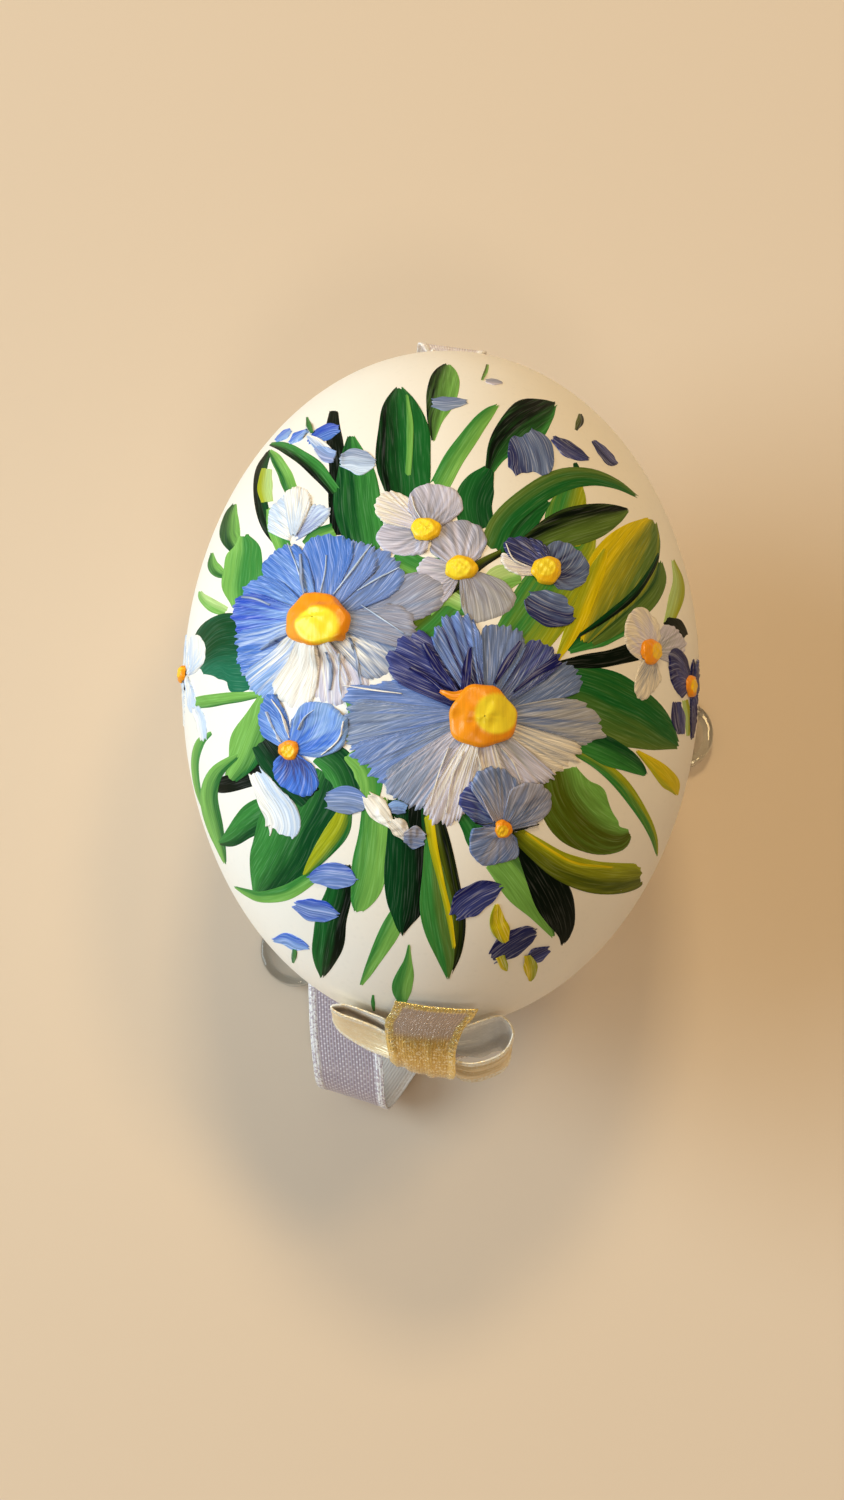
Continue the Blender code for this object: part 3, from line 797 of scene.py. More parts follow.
# leaves on the right, and those that show between the flowers
right_leaves = Coat()
for route, first, second, split in (
    (((488, 474, 8), (499, 450, 24), (515, 431, 40), (532, 418, 42), (547, 409, 24), (555, 404, 5)),
     BLACK_GREEN, MID_GREEN, 0.45),
    (((478, 530, 34), (474, 506, 38), (479, 486, 32), (489, 469, 12)), LEAF_GREEN, DEEP_GREEN, 0.0),
    (((575, 463, 4), (577, 470, 7), (581, 478, 8)), DEEP_GREEN, DEEP_GREEN, 0.0),
    (((508, 655, 52), (533, 622, 62), (553, 590, 60), (574, 556, 48), (590, 532, 16)),
     MID_GREEN, YELLOW_GREEN, 0.3),
    (((563, 545, 34), (566, 515, 40), (572, 492, 28), (577, 480, 12)), MID_GREEN, YELLOW_GREEN, 0.1),
    (((500, 552, 36), (515, 527, 36), (531, 510, 30), (547, 498, 12)), BLACK_GREEN, LEAF_GREEN, 0.0),
    (((491, 548, 26), (504, 521, 26), (530, 498, 25), (560, 481, 23), (590, 477, 17), (616, 484, 10),
      (636, 496, 3)),
     OLIVE_GREEN, LEAF_GREEN, -0.2),
    (((528, 545, 20), (550, 535, 34), (575, 526, 38), (600, 519, 34), (617, 514, 20), (628, 510, 4)),
     BLACK_GREEN, OLIVE_GREEN, 0.0),
    (((568, 650, 8), (592, 638, 22), (615, 627, 26), (640, 617, 12)), LEAF_GREEN, MID_GREEN, 0.0),
    (((590, 642, 10), (615, 622, 26), (640, 600, 30), (656, 580, 22), (660, 561, 5)),
     DEEP_GREEN, OLIVE_GREEN, 0.0),
    (((584, 642, 8), (600, 608, 44), (615, 580, 62), (630, 555, 60), (643, 535, 42), (652, 520, 12)),
     YELLOW, OLIVE_GREEN, -0.15),
    (((577, 637, 3), (605, 618, 7), (632, 596, 8), (650, 572, 6), (658, 555, 3)),
     DEEP_GREEN, BLACK_GREEN, 0.0),
    (((556, 661, 4), (570, 635, 14), (585, 601, 18), (597, 571, 16), (605, 550, 5)),
     YELLOW_GREEN, YELLOW, 0.0),
    (((668, 624, 10), (676, 600, 15), (678, 580, 11), (673, 560, 3)), PALE_GREEN, YELLOW_GREEN, 0.1),
    (((666, 620, 8), (676, 628, 18), (685, 637, 8)), BLACK_GREEN, BLACK_GREEN, 0.0),
    (((322, 752, 26), (340, 768, 34), (350, 794, 22)), DEEP_GREEN, MID_GREEN, 0.2),
    (((352, 752, 20), (368, 772, 28), (372, 802, 16)), MID_GREEN, LIGHT_GREEN, 0.0),
    (((262, 742, 22), (280, 768, 34), (310, 798, 26)), BLACK_GREEN, DEEP_GREEN, 0.0),
    (((350, 690, 14), (356, 715, 16), (352, 742, 12)), PALE_GREEN, LIGHT_GREEN, 0.0),
    (((392, 560, 22), (416, 572, 34), (440, 570, 24)), MID_GREEN, LIGHT_GREEN, 0.0),
    (((404, 640, 24), (426, 622, 40), (448, 600, 44), (470, 600, 30)), OLIVE, MID_GREEN, 0.0),
    (((428, 612, 10), (444, 598, 16), (462, 604, 14)), PALE_GREEN, LIGHT_GREEN, 0.0),
    (((432, 606, 5), (452, 590, 8), (478, 566, 10), (502, 552, 6)), OLIVE, BLACK_GREEN, 0.0),
    (((486, 596, 20), (500, 580, 28), (520, 574, 18)), PALE_GREEN, LIGHT_GREEN, 0.0),
    (((305, 545, 10), (318, 536, 16), (334, 530, 14)), LEAF_GREEN, LIGHT_GREEN, 0.0),
):
    stroke(right_leaves, route, first, second, split)
right_leaves.dry("painted_leaves_right", leaf_paint)

# Painted flowers
# The petals are thick paint pulled between the edge and the heart, so bristle ridges fan out over them and
# each ends in a ragged, slightly raised rim. The hearts come last: orange blobs with yellow pressed in.
PETAL_ROWS = 24
PETAL_COLUMNS = 57
PETAL_STEPS = 16
PETAL_BRISTLES = 9
PETAL_FILM = 0.06 * MM
PETAL_BULGE = 0.82
LINE_FILM = 0.012 * MM
DAB_FILM = 0.045 * MM
HEART_RINGS = 15
HEART_POINTS = 49
WHITE = "f4f1ec"
CREAM_WHITE = "ece3d4"
PALE_BLUE = "c6d8f3"
SKY = "84a9e6"
BLUE = "3f73dc"
ROYAL = "2750c6"
NAVY = "13175c"
INDIGO = "3b4488"
DUSK = "2c3266"
CORNFLOWER = "4a78d0"
PERIWINKLE = "6f8ccf"
SLATE = "8394b8"
LILAC = "93a1d2"
PALE_LILAC = "cdcae0"
GREY_BLUE = "687cab"
GREY_LILAC = "9a9cb2"
SMOKE = "abadb6"
ORANGE = "f79a14"
YOLK = "fac91c"
LEMON = "fde636"
petal_paint = paint_material(
    "petal_paint", mixing=2.6, relief=0.045, roughness=0.42, contrast=0.30, gloss=0.12, white=0.34
)
heart_paint = paint_material(
    "heart_paint", mixing=0.3, relief=0.02, roughness=0.30, contrast=0.08, gloss=0.4
)


def petal(coat, root, edge, first, second, turn=0.5, rough=0.024, place=seen):
    """A fan of bristle marks from its root in the flower's heart out to an edge that runs through the given
    points. The first paint lies towards the root and the second towards the edge."""
    rim = smooth_path(edge, PETAL_STEPS)
    length = np.concatenate([[0.0], np.cumsum(np.linalg.norm(np.diff(rim, axis=0), axis=1))])
    side = np.linspace(0, 1, PETAL_COLUMNS)
    side = 0.5 - 0.5 * np.cos(side * math.pi) * (0.75 + 0.25 * np.abs(np.cos(side * math.pi)))
    rim = np.stack([np.interp(side * length[-1], length, rim[:, k]) for k in range(2)], axis=-1)
    ridges = bristles(PETAL_ROWS, PETAL_COLUMNS, PETAL_BRISTLES)
    fingers = ridges[-1] * 0.6 + np.convolve(hand.uniform(-1, 1, PETAL_COLUMNS), (0.3, 0.6, 0.3), "same")
    corners = np.minimum(side, 1 - side)
    reach = 1.0 + rough * fingers - 0.10 * np.exp(-corners / 0.045)
    out = np.linspace(0.0, 1.0, PETAL_ROWS)[:, None, None]
    grown = 0.10 + 0.90 * out * reach[None, :, None]
    root = np.array(root, float)
    centre = rim.mean(axis=0)
    points = root + (centre - root) * grown + (rim - centre) * grown**PETAL_BULGE
    sheet = place(points)
    out = out[..., 0]
    thickness = PETAL_FILM * (0.8 + 0.5 * out**4) * (1.0 + 0.5 * ridges)
    tone = smooth_step(out + 0.12 * fingers, turn - 0.5, turn + 0.5) + 0.30 * ridges
    across = np.concatenate([[0.0], np.cumsum(np.linalg.norm(np.diff(sheet[-1], axis=0), axis=1))]) / MM
    run = np.linalg.norm(sheet - sheet[0], axis=-1) / MM
    offset = hand.uniform(0, 100, 2)
    flat = np.stack([across[None, :] * (0.45 + 0.55 * out) + offset[0], run + offset[1]], axis=-1)
    coat.lay(sheet, np.maximum(thickness, TUCK), np.clip(tone, 0, 1), first, second, flat)


def heart(coat, spot, size, first=ORANGE, second=LEMON, height=0.4, glow=(0.3, 0.1, 0.56), place=seen):
    """A raised blob of paint with dabbed bumps, lighter where yellow was pressed in."""
    ring = np.linspace(1.0, 0.02, HEART_RINGS)[:, None]
    angle = np.linspace(0.0, 2 * math.pi, HEART_POINTS)[None, :]
    edge = 1.0 + 0.05 * np.sin(angle * 3 + hand.uniform(0, 6))
    edge = edge + 0.03 * np.sin(angle * 7 + hand.uniform(0, 6))
    x = ring * np.cos(angle) * edge
    y = ring * np.sin(angle) * edge
    sheet = place(np.stack([spot[0] + x * size[0] / 2, spot[1] + y * size[1] / 2], axis=-1))
    bumps = np.sin(x * 9 + hand.uniform(0, 6)) * np.sin(y * 8 + hand.uniform(0, 6)) * 0.16
    bumps = bumps + np.sin(x * 21 + y * 7 + hand.uniform(0, 6)) * 0.05
    from_glow = np.hypot(x - glow[0], y - glow[1]) / glow[2]
    patch = smooth_step(from_glow, 0.94, 1.16)
    crest = 0.16 * np.exp(-(((from_glow - 1.0) / 0.16) ** 2))
    thickness = height * MM * (np.sqrt(np.maximum(1.0 - ring**2, 0.0)) * (1.0 + bumps) + crest + 0.08)
    offset = hand.uniform(0, 100, 2)
    flat = np.stack([x * 2.0 + offset[0], y * 2.0 + offset[1]], axis=-1)
    coat.lay(sheet, thickness, 1.0 - patch, first, second, flat, closed=True)


def line(coat, route, paint, share=0.3):
    """A thin raised line left by the edge of the brush."""
    thin = [(x, y, width * share) for x, y, width in route]
    stroke(coat, thin, paint, paint, film=LINE_FILM)


# small flowers above the two large ones
upper_flowers = Coat()
for spot, edge, first, second in (
    ((294, 541), ((312, 532), (324, 523), (331, 511), (320, 504), (307, 507)), LILAC, PALE_BLUE),
    ((294, 541), ((267, 531), (270, 511), (281, 497), (292, 490)), WHITE, PALE_BLUE),
    ((294, 541), ((284, 494), (297, 487), (308, 491), (313, 503)), PALE_BLUE, WHITE),
    ((461, 569), ((424, 556), (416, 572), (421, 592), (437, 606), (450, 598)), GREY_LILAC, PALE_LILAC),
    ((461, 569), ((462, 612), (472, 623), (491, 620), (508, 612), (516, 598), (506, 583), (490, 577)),
     GREY_LILAC, SMOKE),
    ((461, 569), ((428, 550), (436, 529), (455, 520), (475, 523), (487, 539), (482, 556)),
     PALE_LILAC, GREY_LILAC),
    ((426, 531), ((396, 521), (380, 528), (377, 542), (389, 553), (411, 556), (427, 553)),
     GREY_LILAC, PALE_LILAC),
    ((426, 531), ((381, 523), (374, 509), (380, 495), (395, 492), (411, 498)), PALE_LILAC, CREAM_WHITE),
    ((426, 531), ((407, 507), (412, 490), (428, 484), (446, 486), (459, 494), (463, 509), (452, 521)),
     GREY_LILAC, PALE_LILAC),
    ((546, 571), ((499, 552), (504, 567), (518, 575), (533, 576)), PALE_LILAC, WHITE),
    ((546, 571), ((546, 545), (560, 541), (578, 550), (588, 563), (587, 579), (575, 589), (560, 591)),
     DUSK, GREY_BLUE),
    ((546, 571), ((505, 556), (504, 543), (516, 537), (536, 540), (548, 549)), INDIGO, DUSK),
):
    petal(upper_flowers, spot, edge, first, second)
low_petal = ((527, 597, 12), (538, 604, 30), (552, 610, 34), (565, 614, 26), (573, 613, 12))
stroke(upper_flowers, low_petal, GREY_BLUE, DUSK, film=DAB_FILM, ragged=0.06)
for route in (
    ((412, 498, 2), (415, 510, 3), (421, 521, 2)),
    ((505, 545, 2), (512, 560, 4), (526, 567, 2)),
):
    line(upper_flowers, route, WHITE)
upper_flowers.dry("painted_upper_flowers", petal_paint)

# the large blue and white flower on the left
left_flower = Coat()
for edge, first, second in (
    (((398, 574), (425, 574), (442, 588), (440, 607), (418, 622)), SLATE, GREY_LILAC),
    (((371, 545), (388, 552), (401, 566), (404, 582), (394, 596)), GREY_BLUE, PERIWINKLE),
    (((344, 541), (362, 542), (376, 552), (380, 568)), PERIWINKLE, PERIWINKLE),
    (((302, 562), (304, 546), (317, 537), (335, 536), (351, 540), (357, 552)), PERIWINKLE, CORNFLOWER),
    (((262, 582), (264, 562), (278, 549), (295, 545), (307, 553)), SKY, CORNFLOWER),
    (((239, 604), (246, 586), (261, 577), (281, 580)), SKY, CORNFLOWER),
    (((239, 641), (234, 623), (233, 606), (244, 595), (262, 594)), SKY, ROYAL),
    (((236, 632), (237, 655), (240, 672), (250, 686)), PALE_BLUE, CORNFLOWER),
    (((243, 674), (254, 691), (270, 698), (284, 694)), WHITE, SKY),
    (((345, 694), (353, 701), (365, 691), (373, 674), (377, 660)), WHITE, PALE_LILAC),
    (((366, 681), (385, 676), (398, 666), (408, 651), (412, 638)), WHITE, SLATE),
    (((404, 650), (413, 640), (416, 625), (408, 611), (396, 603)), SLATE, GREY_LILAC),
    (((311, 692), (324, 703), (338, 706), (348, 697), (351, 680)), WHITE, PALE_LILAC),
    (((270, 690), (284, 703), (297, 710), (311, 703), (318, 688)), WHITE, WHITE),
):
    petal(left_flower, (320, 622), edge, first, second)
for route in (
    ((327, 556, 2), (326, 575, 3), (322, 597, 2)),
    ((373, 546, 2), (353, 572, 5), (335, 596, 2)),
    ((400, 569, 2), (378, 580, 4), (358, 592, 2)),
    ((290, 545, 2), (297, 565, 3), (305, 590, 2)),
    ((343, 700, 2), (340, 680, 3), (342, 655, 2)),
    ((362, 606, 2), (380, 618, 4), (404, 634, 2)),
):
    line(left_flower, route, PALE_BLUE)
for route in (
    ((244, 598, 3), (258, 600, 4), (272, 606, 3)),
    ((302, 556, 3), (303, 575, 5), (307, 596, 3)),
    ((352, 640, 3), (358, 662, 4), (362, 684, 3)),
    ((331, 655, 3), (333, 672, 5), (331, 690, 3)),
    ((262, 650, 3), (278, 642, 4), (294, 636, 3)),
):
    line(left_flower, route, SLATE, share=0.6)
left_flower.dry("painted_left_flower", petal_paint)

# the large ultramarine and white flower in the middle
middle_flower = Coat()
for edge, first, second in (
    (((352, 712), (344, 696), (354, 687), (380, 683), (402, 678)), PERIWINKLE, PERIWINKLE),
    (((350, 752), (344, 735), (345, 714), (354, 698)), PERIWINKLE, SLATE),
    (((392, 792), (374, 776), (358, 763), (350, 744)), SLATE, PERIWINKLE),
    (((424, 812), (405, 806), (390, 791), (382, 772)), PALE_LILAC, SLATE),
    (((552, 668), (566, 663), (579, 674), (581, 690), (566, 698)), GREY_BLUE, GREY_BLUE),
    (((560, 697), (584, 702), (598, 717), (604, 733), (591, 744), (575, 749)), GREY_BLUE, SMOKE),
    (((584, 744), (574, 761), (561, 772), (545, 778)), SMOKE, CREAM_WHITE),
    (((558, 776), (540, 785), (516, 786), (498, 782)), SMOKE, PALE_LILAC),
    (((503, 774), (492, 790), (478, 802), (462, 812)), PALE_LILAC, CREAM_WHITE),
    (((464, 818), (446, 825), (431, 820), (420, 809)), WHITE, PALE_LILAC),
    (((519, 646), (535, 640), (552, 648), (559, 661), (555, 673)), GREY_BLUE, INDIGO),
    (((477, 637), (489, 626), (508, 626), (523, 634), (527, 647)), GREY_BLUE, GREY_BLUE),
    (((394, 682), (387, 666), (391, 652), (403, 640), (419, 632), (434, 636)), NAVY, INDIGO),
    (((430, 641), (440, 622), (453, 614), (469, 618), (481, 629)), NAVY, PERIWINKLE),
):
    petal(middle_flower, (481, 716), edge, first, second, rough=0.034)
for route in (
    ((424, 645, 5), (438, 668, 10), (456, 692, 3)),
    ((470, 648, 3), (467, 668, 9), (464, 692, 8)),
    ((520, 642, 4), (507, 662, 8), (494, 684, 3)),
    ((557, 660, 12), (535, 674, 6), (513, 692, 2)),
    ((410, 668, 3), (430, 680, 4), (450, 698, 2)),
):
    line(middle_flower, route, NAVY, share=1.0)
for route in (
    ((345, 686, 2), (370, 690, 5), (402, 694, 2)),
    ((448, 748, 2), (438, 775, 4), (430, 806, 2)),
    ((462, 752, 2), (452, 778, 4), (446, 812, 2)),
    ((476, 752, 2), (480, 770, 3), (476, 790, 2)),
    ((500, 748, 2), (512, 762, 3), (520, 780, 2)),
):
    line(middle_flower, route, WHITE)
stroke(middle_flower, ((462, 696, 10), (452, 697, 8), (440, 692, 3)), ORANGE, ORANGE, film=DAB_FILM)
middle_flower.dry("painted_middle_flower", petal_paint)

# small flowers round the lower side, and the petals that show at both edges of the egg
lower_flowers = Coat()
for spot, edge, first, second in (
    ((291, 750), ((261, 735), (258, 715), (265, 699), (277, 696), (288, 716)), SKY, CORNFLOWER),
    ((291, 750), ((295, 716), (308, 702), (330, 705), (346, 717), (349, 731), (342, 748), (322, 758)),
     BLUE, SKY),
    ((291, 750), ((273, 763), (275, 779), (290, 792), (308, 796), (319, 785), (314, 766), (301, 758)),
     INDIGO, BLUE),
    ((502, 828), ((474, 823), (459, 804), (463, 790), (478, 778), (489, 784)), GREY_BLUE, INDIGO),
    ((502, 828), ((468, 786), (480, 770), (500, 768), (515, 778), (521, 792)), GREY_LILAC, GREY_BLUE),
    ((502, 828), ((510, 786), (530, 782), (548, 790), (551, 808), (539, 822), (520, 829)),
     GREY_BLUE, GREY_LILAC),
    ((502, 828), ((470, 828), (470, 850), (483, 866), (501, 863), (518, 856), (517, 839)),
     GREY_LILAC, GREY_BLUE),
    ((649, 652), ((656, 640), (664, 625), (678, 630), (686, 647), (673, 664)), SMOKE, PALE_LILAC),
    ((649, 652), ((643, 663), (628, 650), (624, 628), (632, 610), (645, 608), (656, 622), (659, 637)),
     PALE_LILAC, CREAM_WHITE),
    ((649, 652), ((638, 668), (634, 690), (642, 701), (655, 690), (661, 680), (657, 668)),
     SMOKE, CREAM_WHITE),
    ((689, 686), ((681, 699), (671, 682), (668, 656), (676, 648), (686, 660), (691, 674)), INDIGO, NAVY),
    ((689, 686), ((691, 664), (694, 659), (696, 670), (694, 688)), NAVY, NAVY),
    ((187, 675), ((191, 667), (188, 644), (194, 634), (204, 642), (205, 660), (197, 672)),
     PALE_BLUE, WHITE),
    ((187, 675), ((186, 684), (188, 705), (192, 713), (196, 700), (192, 684)), WHITE, PALE_BLUE),
):
    petal(lower_flowers, spot, edge, first, second)
for route, first, second, split in (
    (((256, 772, 14), (266, 790, 24), (278, 808, 32), (284, 824, 36), (282, 835, 24)),
     PALE_BLUE, WHITE, 0.0),
    (((676, 702, 7), (678, 718, 14), (681, 734, 7)), INDIGO, NAVY, 0.0),
    (((197, 707, 6), (201, 722, 11), (204, 740, 6)), PALE_BLUE, WHITE, 0.0),
):
    stroke(lower_flowers, route, first, second, split, film=DAB_FILM, ragged=0.06)
for route, paint in (
    (((275, 700, 2), (284, 715, 4), (291, 738, 2)), WHITE),
    (((268, 712, 2), (274, 728, 3), (282, 742, 2)), PALE_BLUE),
    (((346, 722, 3), (340, 740, 4), (322, 755, 3)), WHITE),
    (((300, 730, 2), (306, 718, 3), (316, 710, 2)), PALE_BLUE),
    (((474, 822, 3), (484, 823, 3), (492, 822, 2)), BLACK_GREEN),
    (((511, 830, 5), (522, 828, 3), (538, 824, 2)), BLACK_GREEN),
    (((480, 795, 2), (486, 808, 3), (492, 820, 2)), PALE_LILAC),
):
    line(lower_flowers, route, paint)
for spot, edge, first, second in (
    ((-29.8, -2.1), ((-30.5, 1.2), (-32.3, 2.6), (-33.8, 1.2), (-33.2, -0.8)), WHITE, PALE_BLUE),
    ((-29.8, -2.1), ((-33.0, -2.2), (-34.3, -3.9), (-32.8, -5.6), (-30.9, -5.0)), PALE_BLUE, WHITE),
    ((27.0, -2.4), ((28.2, -0.2), (30.0, 1.2), (31.5, -0.3), (30.8, -1.8)), NAVY, INDIGO),
    ((27.0, -2.4), ((30.8, -3.0), (31.5, -4.7), (29.9, -6.1), (28.3, -5.3)), INDIGO, NAVY),
):
    petal(lower_flowers, spot, edge, first, second, place=around)
lower_flowers.dry("painted_lower_flowers", petal_paint)

hearts = Coat()
for spot, size, first, second, glow in (
    ((321, 622), (62, 54), ORANGE, LEMON, (0.12, 0.26, 0.62)),
    ((482, 717), (68, 62), ORANGE, LEMON, (0.36, -0.08, 0.60)),
    ((426, 531), (30, 22), YOLK, LEMON, (-0.2, 0.0, 0.7)),
    ((461, 569), (33, 24), YOLK, LEMON, (-0.2, 0.1, 0.7)),
    ((546, 571), (30, 27), YOLK, LEMON, (-0.2, -0.1, 0.6)),
    ((291, 750), (19, 20), ORANGE, YOLK, (0.1, 0.1, 0.6)),
    ((502, 828), (17, 18), ORANGE, YOLK, (-0.2, 0.1, 0.6)),
    ((649, 652), (19, 26), ORANGE, YOLK, (0.4, 0.0, 0.6)),
    ((689, 686), (7, 22), ORANGE, YOLK, (0.0, 0.0, 0.6)),
):
    heart(hearts, spot, size, first, second, height=0.18 + 0.0035 * min(size), glow=glow)
heart(hearts, (-29.9, -2.0), (1.7, 1.5), ORANGE, YOLK, height=0.3, place=around)
hearts.dry("painted_hearts", heart_paint)

# Painted buds
# Loose petals and buds fall away from the spray towards both ends. Each is a single dab or a short pull of
# the same acrylic in blue, lilac, yellow or green, laid last, over the leaves and beside the flowers.
buds = Coat()
for route, first, second, split in (
    (((521, 435, 26), (527, 447, 44), (532, 462, 47), (533, 474, 36)), GREY_BLUE, DUSK, 0.2),
    (((553, 439, 6), (566, 448, 15), (578, 455, 12), (588, 459, 3)), DUSK, INDIGO, 0.0),
    (((593, 441, 4), (603, 452, 10), (611, 461, 10), (617, 464, 3)), INDIGO, DUSK, 0.0),
    (((432, 403, 8), (445, 404, 14), (456, 403, 10), (467, 402, 4)), GREY_BLUE, SLATE, 0.0),
    (((309, 442, 4), (319, 436, 13), (330, 431, 15), (339, 429, 7)), ROYAL, CORNFLOWER, 0.0),
    (((309, 437, 4), (320, 446, 12), (331, 453, 7)), WHITE, SKY, 0.0),
    (((317, 449, 5), (326, 455, 14), (335, 457, 11)), SKY, LILAC, 0.0),
    (((341, 462, 10), (352, 461, 23), (364, 463, 24), (375, 464, 8)), SLATE, PALE_BLUE, 0.0),
    (((276, 441, 3), (284, 435, 9), (291, 430, 4)), BLUE, SKY, 0.0),
    (((290, 443, 3), (298, 437, 9), (307, 431, 4)), BLUE, SKY, 0.0),
    (((310, 878, 8), (324, 875, 22), (340, 876, 25), (351, 878, 17), (356, 878, 5)),
     ROYAL, PERIWINKLE, -0.75),
    (((295, 904, 8), (309, 909, 21), (325, 912, 20), (338, 915, 5)), ROYAL, PERIWINKLE, -0.6),
    (((274, 940, 4), (285, 939, 12), (297, 944, 13), (308, 947, 4)), BLUE, SKY, -0.2),
    (((454, 916, 12), (465, 905, 29), (480, 895, 28), (493, 889, 18), (501, 886, 5)), NAVY, INDIGO, -0.45),
    (((492, 958, 12), (505, 948, 25), (518, 940, 24), (529, 934, 18), (536, 932, 6)), NAVY, DUSK, -0.2),
    (((527, 961, 6), (537, 955, 15), (549, 949, 6)), NAVY, INDIGO, 0.0),
    (((327, 800, 16), (340, 800, 27), (354, 801, 26), (366, 805, 12)), PERIWINKLE, SLATE, 0.0),
    (((389, 808, 9), (398, 807, 14), (407, 809, 8)), SKY, GREY_BLUE, 0.0),
    (((367, 795, 10), (375, 805, 21), (384, 816, 18), (393, 828, 4)), CREAM_WHITE, WHITE, 0.0),
    (((392, 820, 10), (400, 828, 17), (409, 841, 5)), WHITE, CREAM_WHITE, 0.0),
    (((405, 836, 10), (414, 837, 23), (425, 839, 12)), GREY_LILAC, GREY_BLUE, 0.0),
    (((486, 381, 3), (494, 382, 6), (502, 383, 2)), GREY_LILAC, PALE_LILAC, 0.0),
):
    stroke(buds, route, first, second, split, film=DAB_FILM, ragged=0.07)
for route, first, second, split in (
    (((497, 904, 4), (497, 918, 15), (501, 931, 18), (506, 942, 6)), YELLOW, YELLOW_GREEN, 0.5),
    (((527, 955, 6), (530, 965, 14), (531, 975, 10), (530, 981, 3)), YELLOW_GREEN, YELLOW, 0.0),
    (((500, 956, 10), (504, 966, 8), (507, 971, 2)), YELLOW_GREEN, YELLOW, 0.0),
    (((482, 380, 2), (486, 371, 4), (488, 362, 2)), OLIVE, LIGHT_GREEN, 0.0),
    (((576, 430, 3), (580, 421, 8), (580, 414, 3)), OLIVE, BLACK_GREEN, 0.0),
    (((313, 434, 3), (309, 425, 5), (307, 417, 2)), LEAF_GREEN, MID_GREEN, 0.0),
    (((295, 949, 4), (294, 957, 5), (293, 963, 2)), MID_GREEN, SEA_GREEN, 0.0),
):
    stroke(buds, route, first, second, split)
buds.dry("painted_buds", petal_paint)

# Bow
# A bow of satin tied through the egg's pointed end: two small loops, and the ribbon's own cut end, which
# starts on the shell, wraps over the middle and holds them. Each is the ribbon's full width. Its champagne
# and gold tints are partly the ribbon's own tint and partly painted warm lamplight and its reflection.
BOW_STEPS = 15
WRAP_LEFT = (
    (-3.8, -28.8, 34.0), (-4.1, -29.5, 33.3), (-4.6, -30.2, 32.6), (-4.6, -31.0, 31.9), (-4.5, -31.8, 31.0),
    (-4.3, -32.6, 29.8), (-4.2, -32.9, 28.2), (-3.8, -32.8, 26.8), (-3.2, -32.2, 26.1), (-2.8, -31.4, 26.4),
)
WRAP_RIGHT = (
    (2.9, -29.4, 33.4), (2.5, -30.0, 32.8), (1.8, -30.7, 32.2), (1.4, -31.5, 31.6), (1.1, -32.4, 30.7),
    (1.1, -33.3, 29.4), (1.1, -34.0, 27.8), (0.8, -34.0, 26.4), (0.2, -33.0, 25.8), (-0.3, -31.8, 26.2),
)
LEFT_LOOP_TOP = (
    (-2.2, -31.4, 30.2), (-3.6, -30.7, 30.6), (-4.7, -30.0, 31.0), (-6.3, -29.3, 31.3), (-7.9, -28.8, 31.5),
    (-9.0, -28.9, 31.3), (-8.4, -29.4, 31.2), (-6.9, -29.9, 31.0), (-5.4, -30.4, 30.7), (-3.6, -31.3, 30.3),
    (-2.2, -32.0, 30.1),
)
LEFT_LOOP_BOTTOM = (
    (-2.2, -31.8, 28.2), (-3.6, -31.2, 27.4), (-4.9, -30.5, 25.9), (-6.5, -29.5, 25.1), (-7.9, -28.7, 24.9),
    (-9.0, -28.9, 25.1), (-8.5, -30.0, 24.9), (-7.1, -31.0, 25.0), (-5.7, -31.8, 25.7), (-3.6, -32.7, 27.3),
    (-2.2, -33.1, 28.2),
)
RIGHT_LOOP_TOP = (
    (-0.8, -31.5, 30.2), (0.2, -31.0, 30.5), (1.6, -30.6, 30.6), (3.3, -29.9, 30.4), (4.9, -29.5, 29.9),
    (5.8, -30.6, 29.5), (5.3, -32.0, 29.2), (4.1, -32.8, 29.0), (2.3, -33.2, 29.1), (0.4, -32.7, 29.5),
    (-0.8, -32.1, 29.7),
)
RIGHT_LOOP_BOTTOM = (
    (-0.8, -32.0, 28.0), (0.3, -32.1, 27.4), (1.7, -32.2, 25.6), (3.3, -32.1, 24.4), (4.7, -31.5, 23.8),
    (5.7, -31.9, 23.6), (5.2, -33.0, 23.7), (3.9, -33.7, 24.1), (2.2, -34.1, 25.0), (0.6, -33.5, 26.8),
    (-0.8, -32.5, 27.8),
)


def tied_band(name, left, right, face_satin, back_satin, pleats=0.3, crown=0.0, seed=1):
    """A ribbon between two edges given in millimetres from the table point, as part of a bow or a knot."""
    edges = [TABLE_POINT + smooth_path(edge, BOW_STEPS) * MM for edge in (left, right)]
    return ribbon_band(name, *edges, face_satin, back_satin, pleats * MM, crown * MM, seed)


def joined(name, parts):
    """Joins parts into the first of them and names it."""
    bpy.ops.object.select_all(action="DESELECT")
    for part in parts:
        part.select_set(True)
    bpy.context.view_layer.objects.active = parts[0]
    bpy.ops.object.join()
    parts[0].name = name
    return parts[0]


cream_satin = satin_material("cream_satin", "f6eee0", "ded0bd", "ffffff")
# painted light: the loops' champagne tint is partly the ribbon's own and partly painted warm lamplight
champagne_satin_with_painted_warm_light = satin_material("champagne_satin_with_painted_warm_light", "f6e8c8", "dfc28a", "fffdf4", metal=0.25)
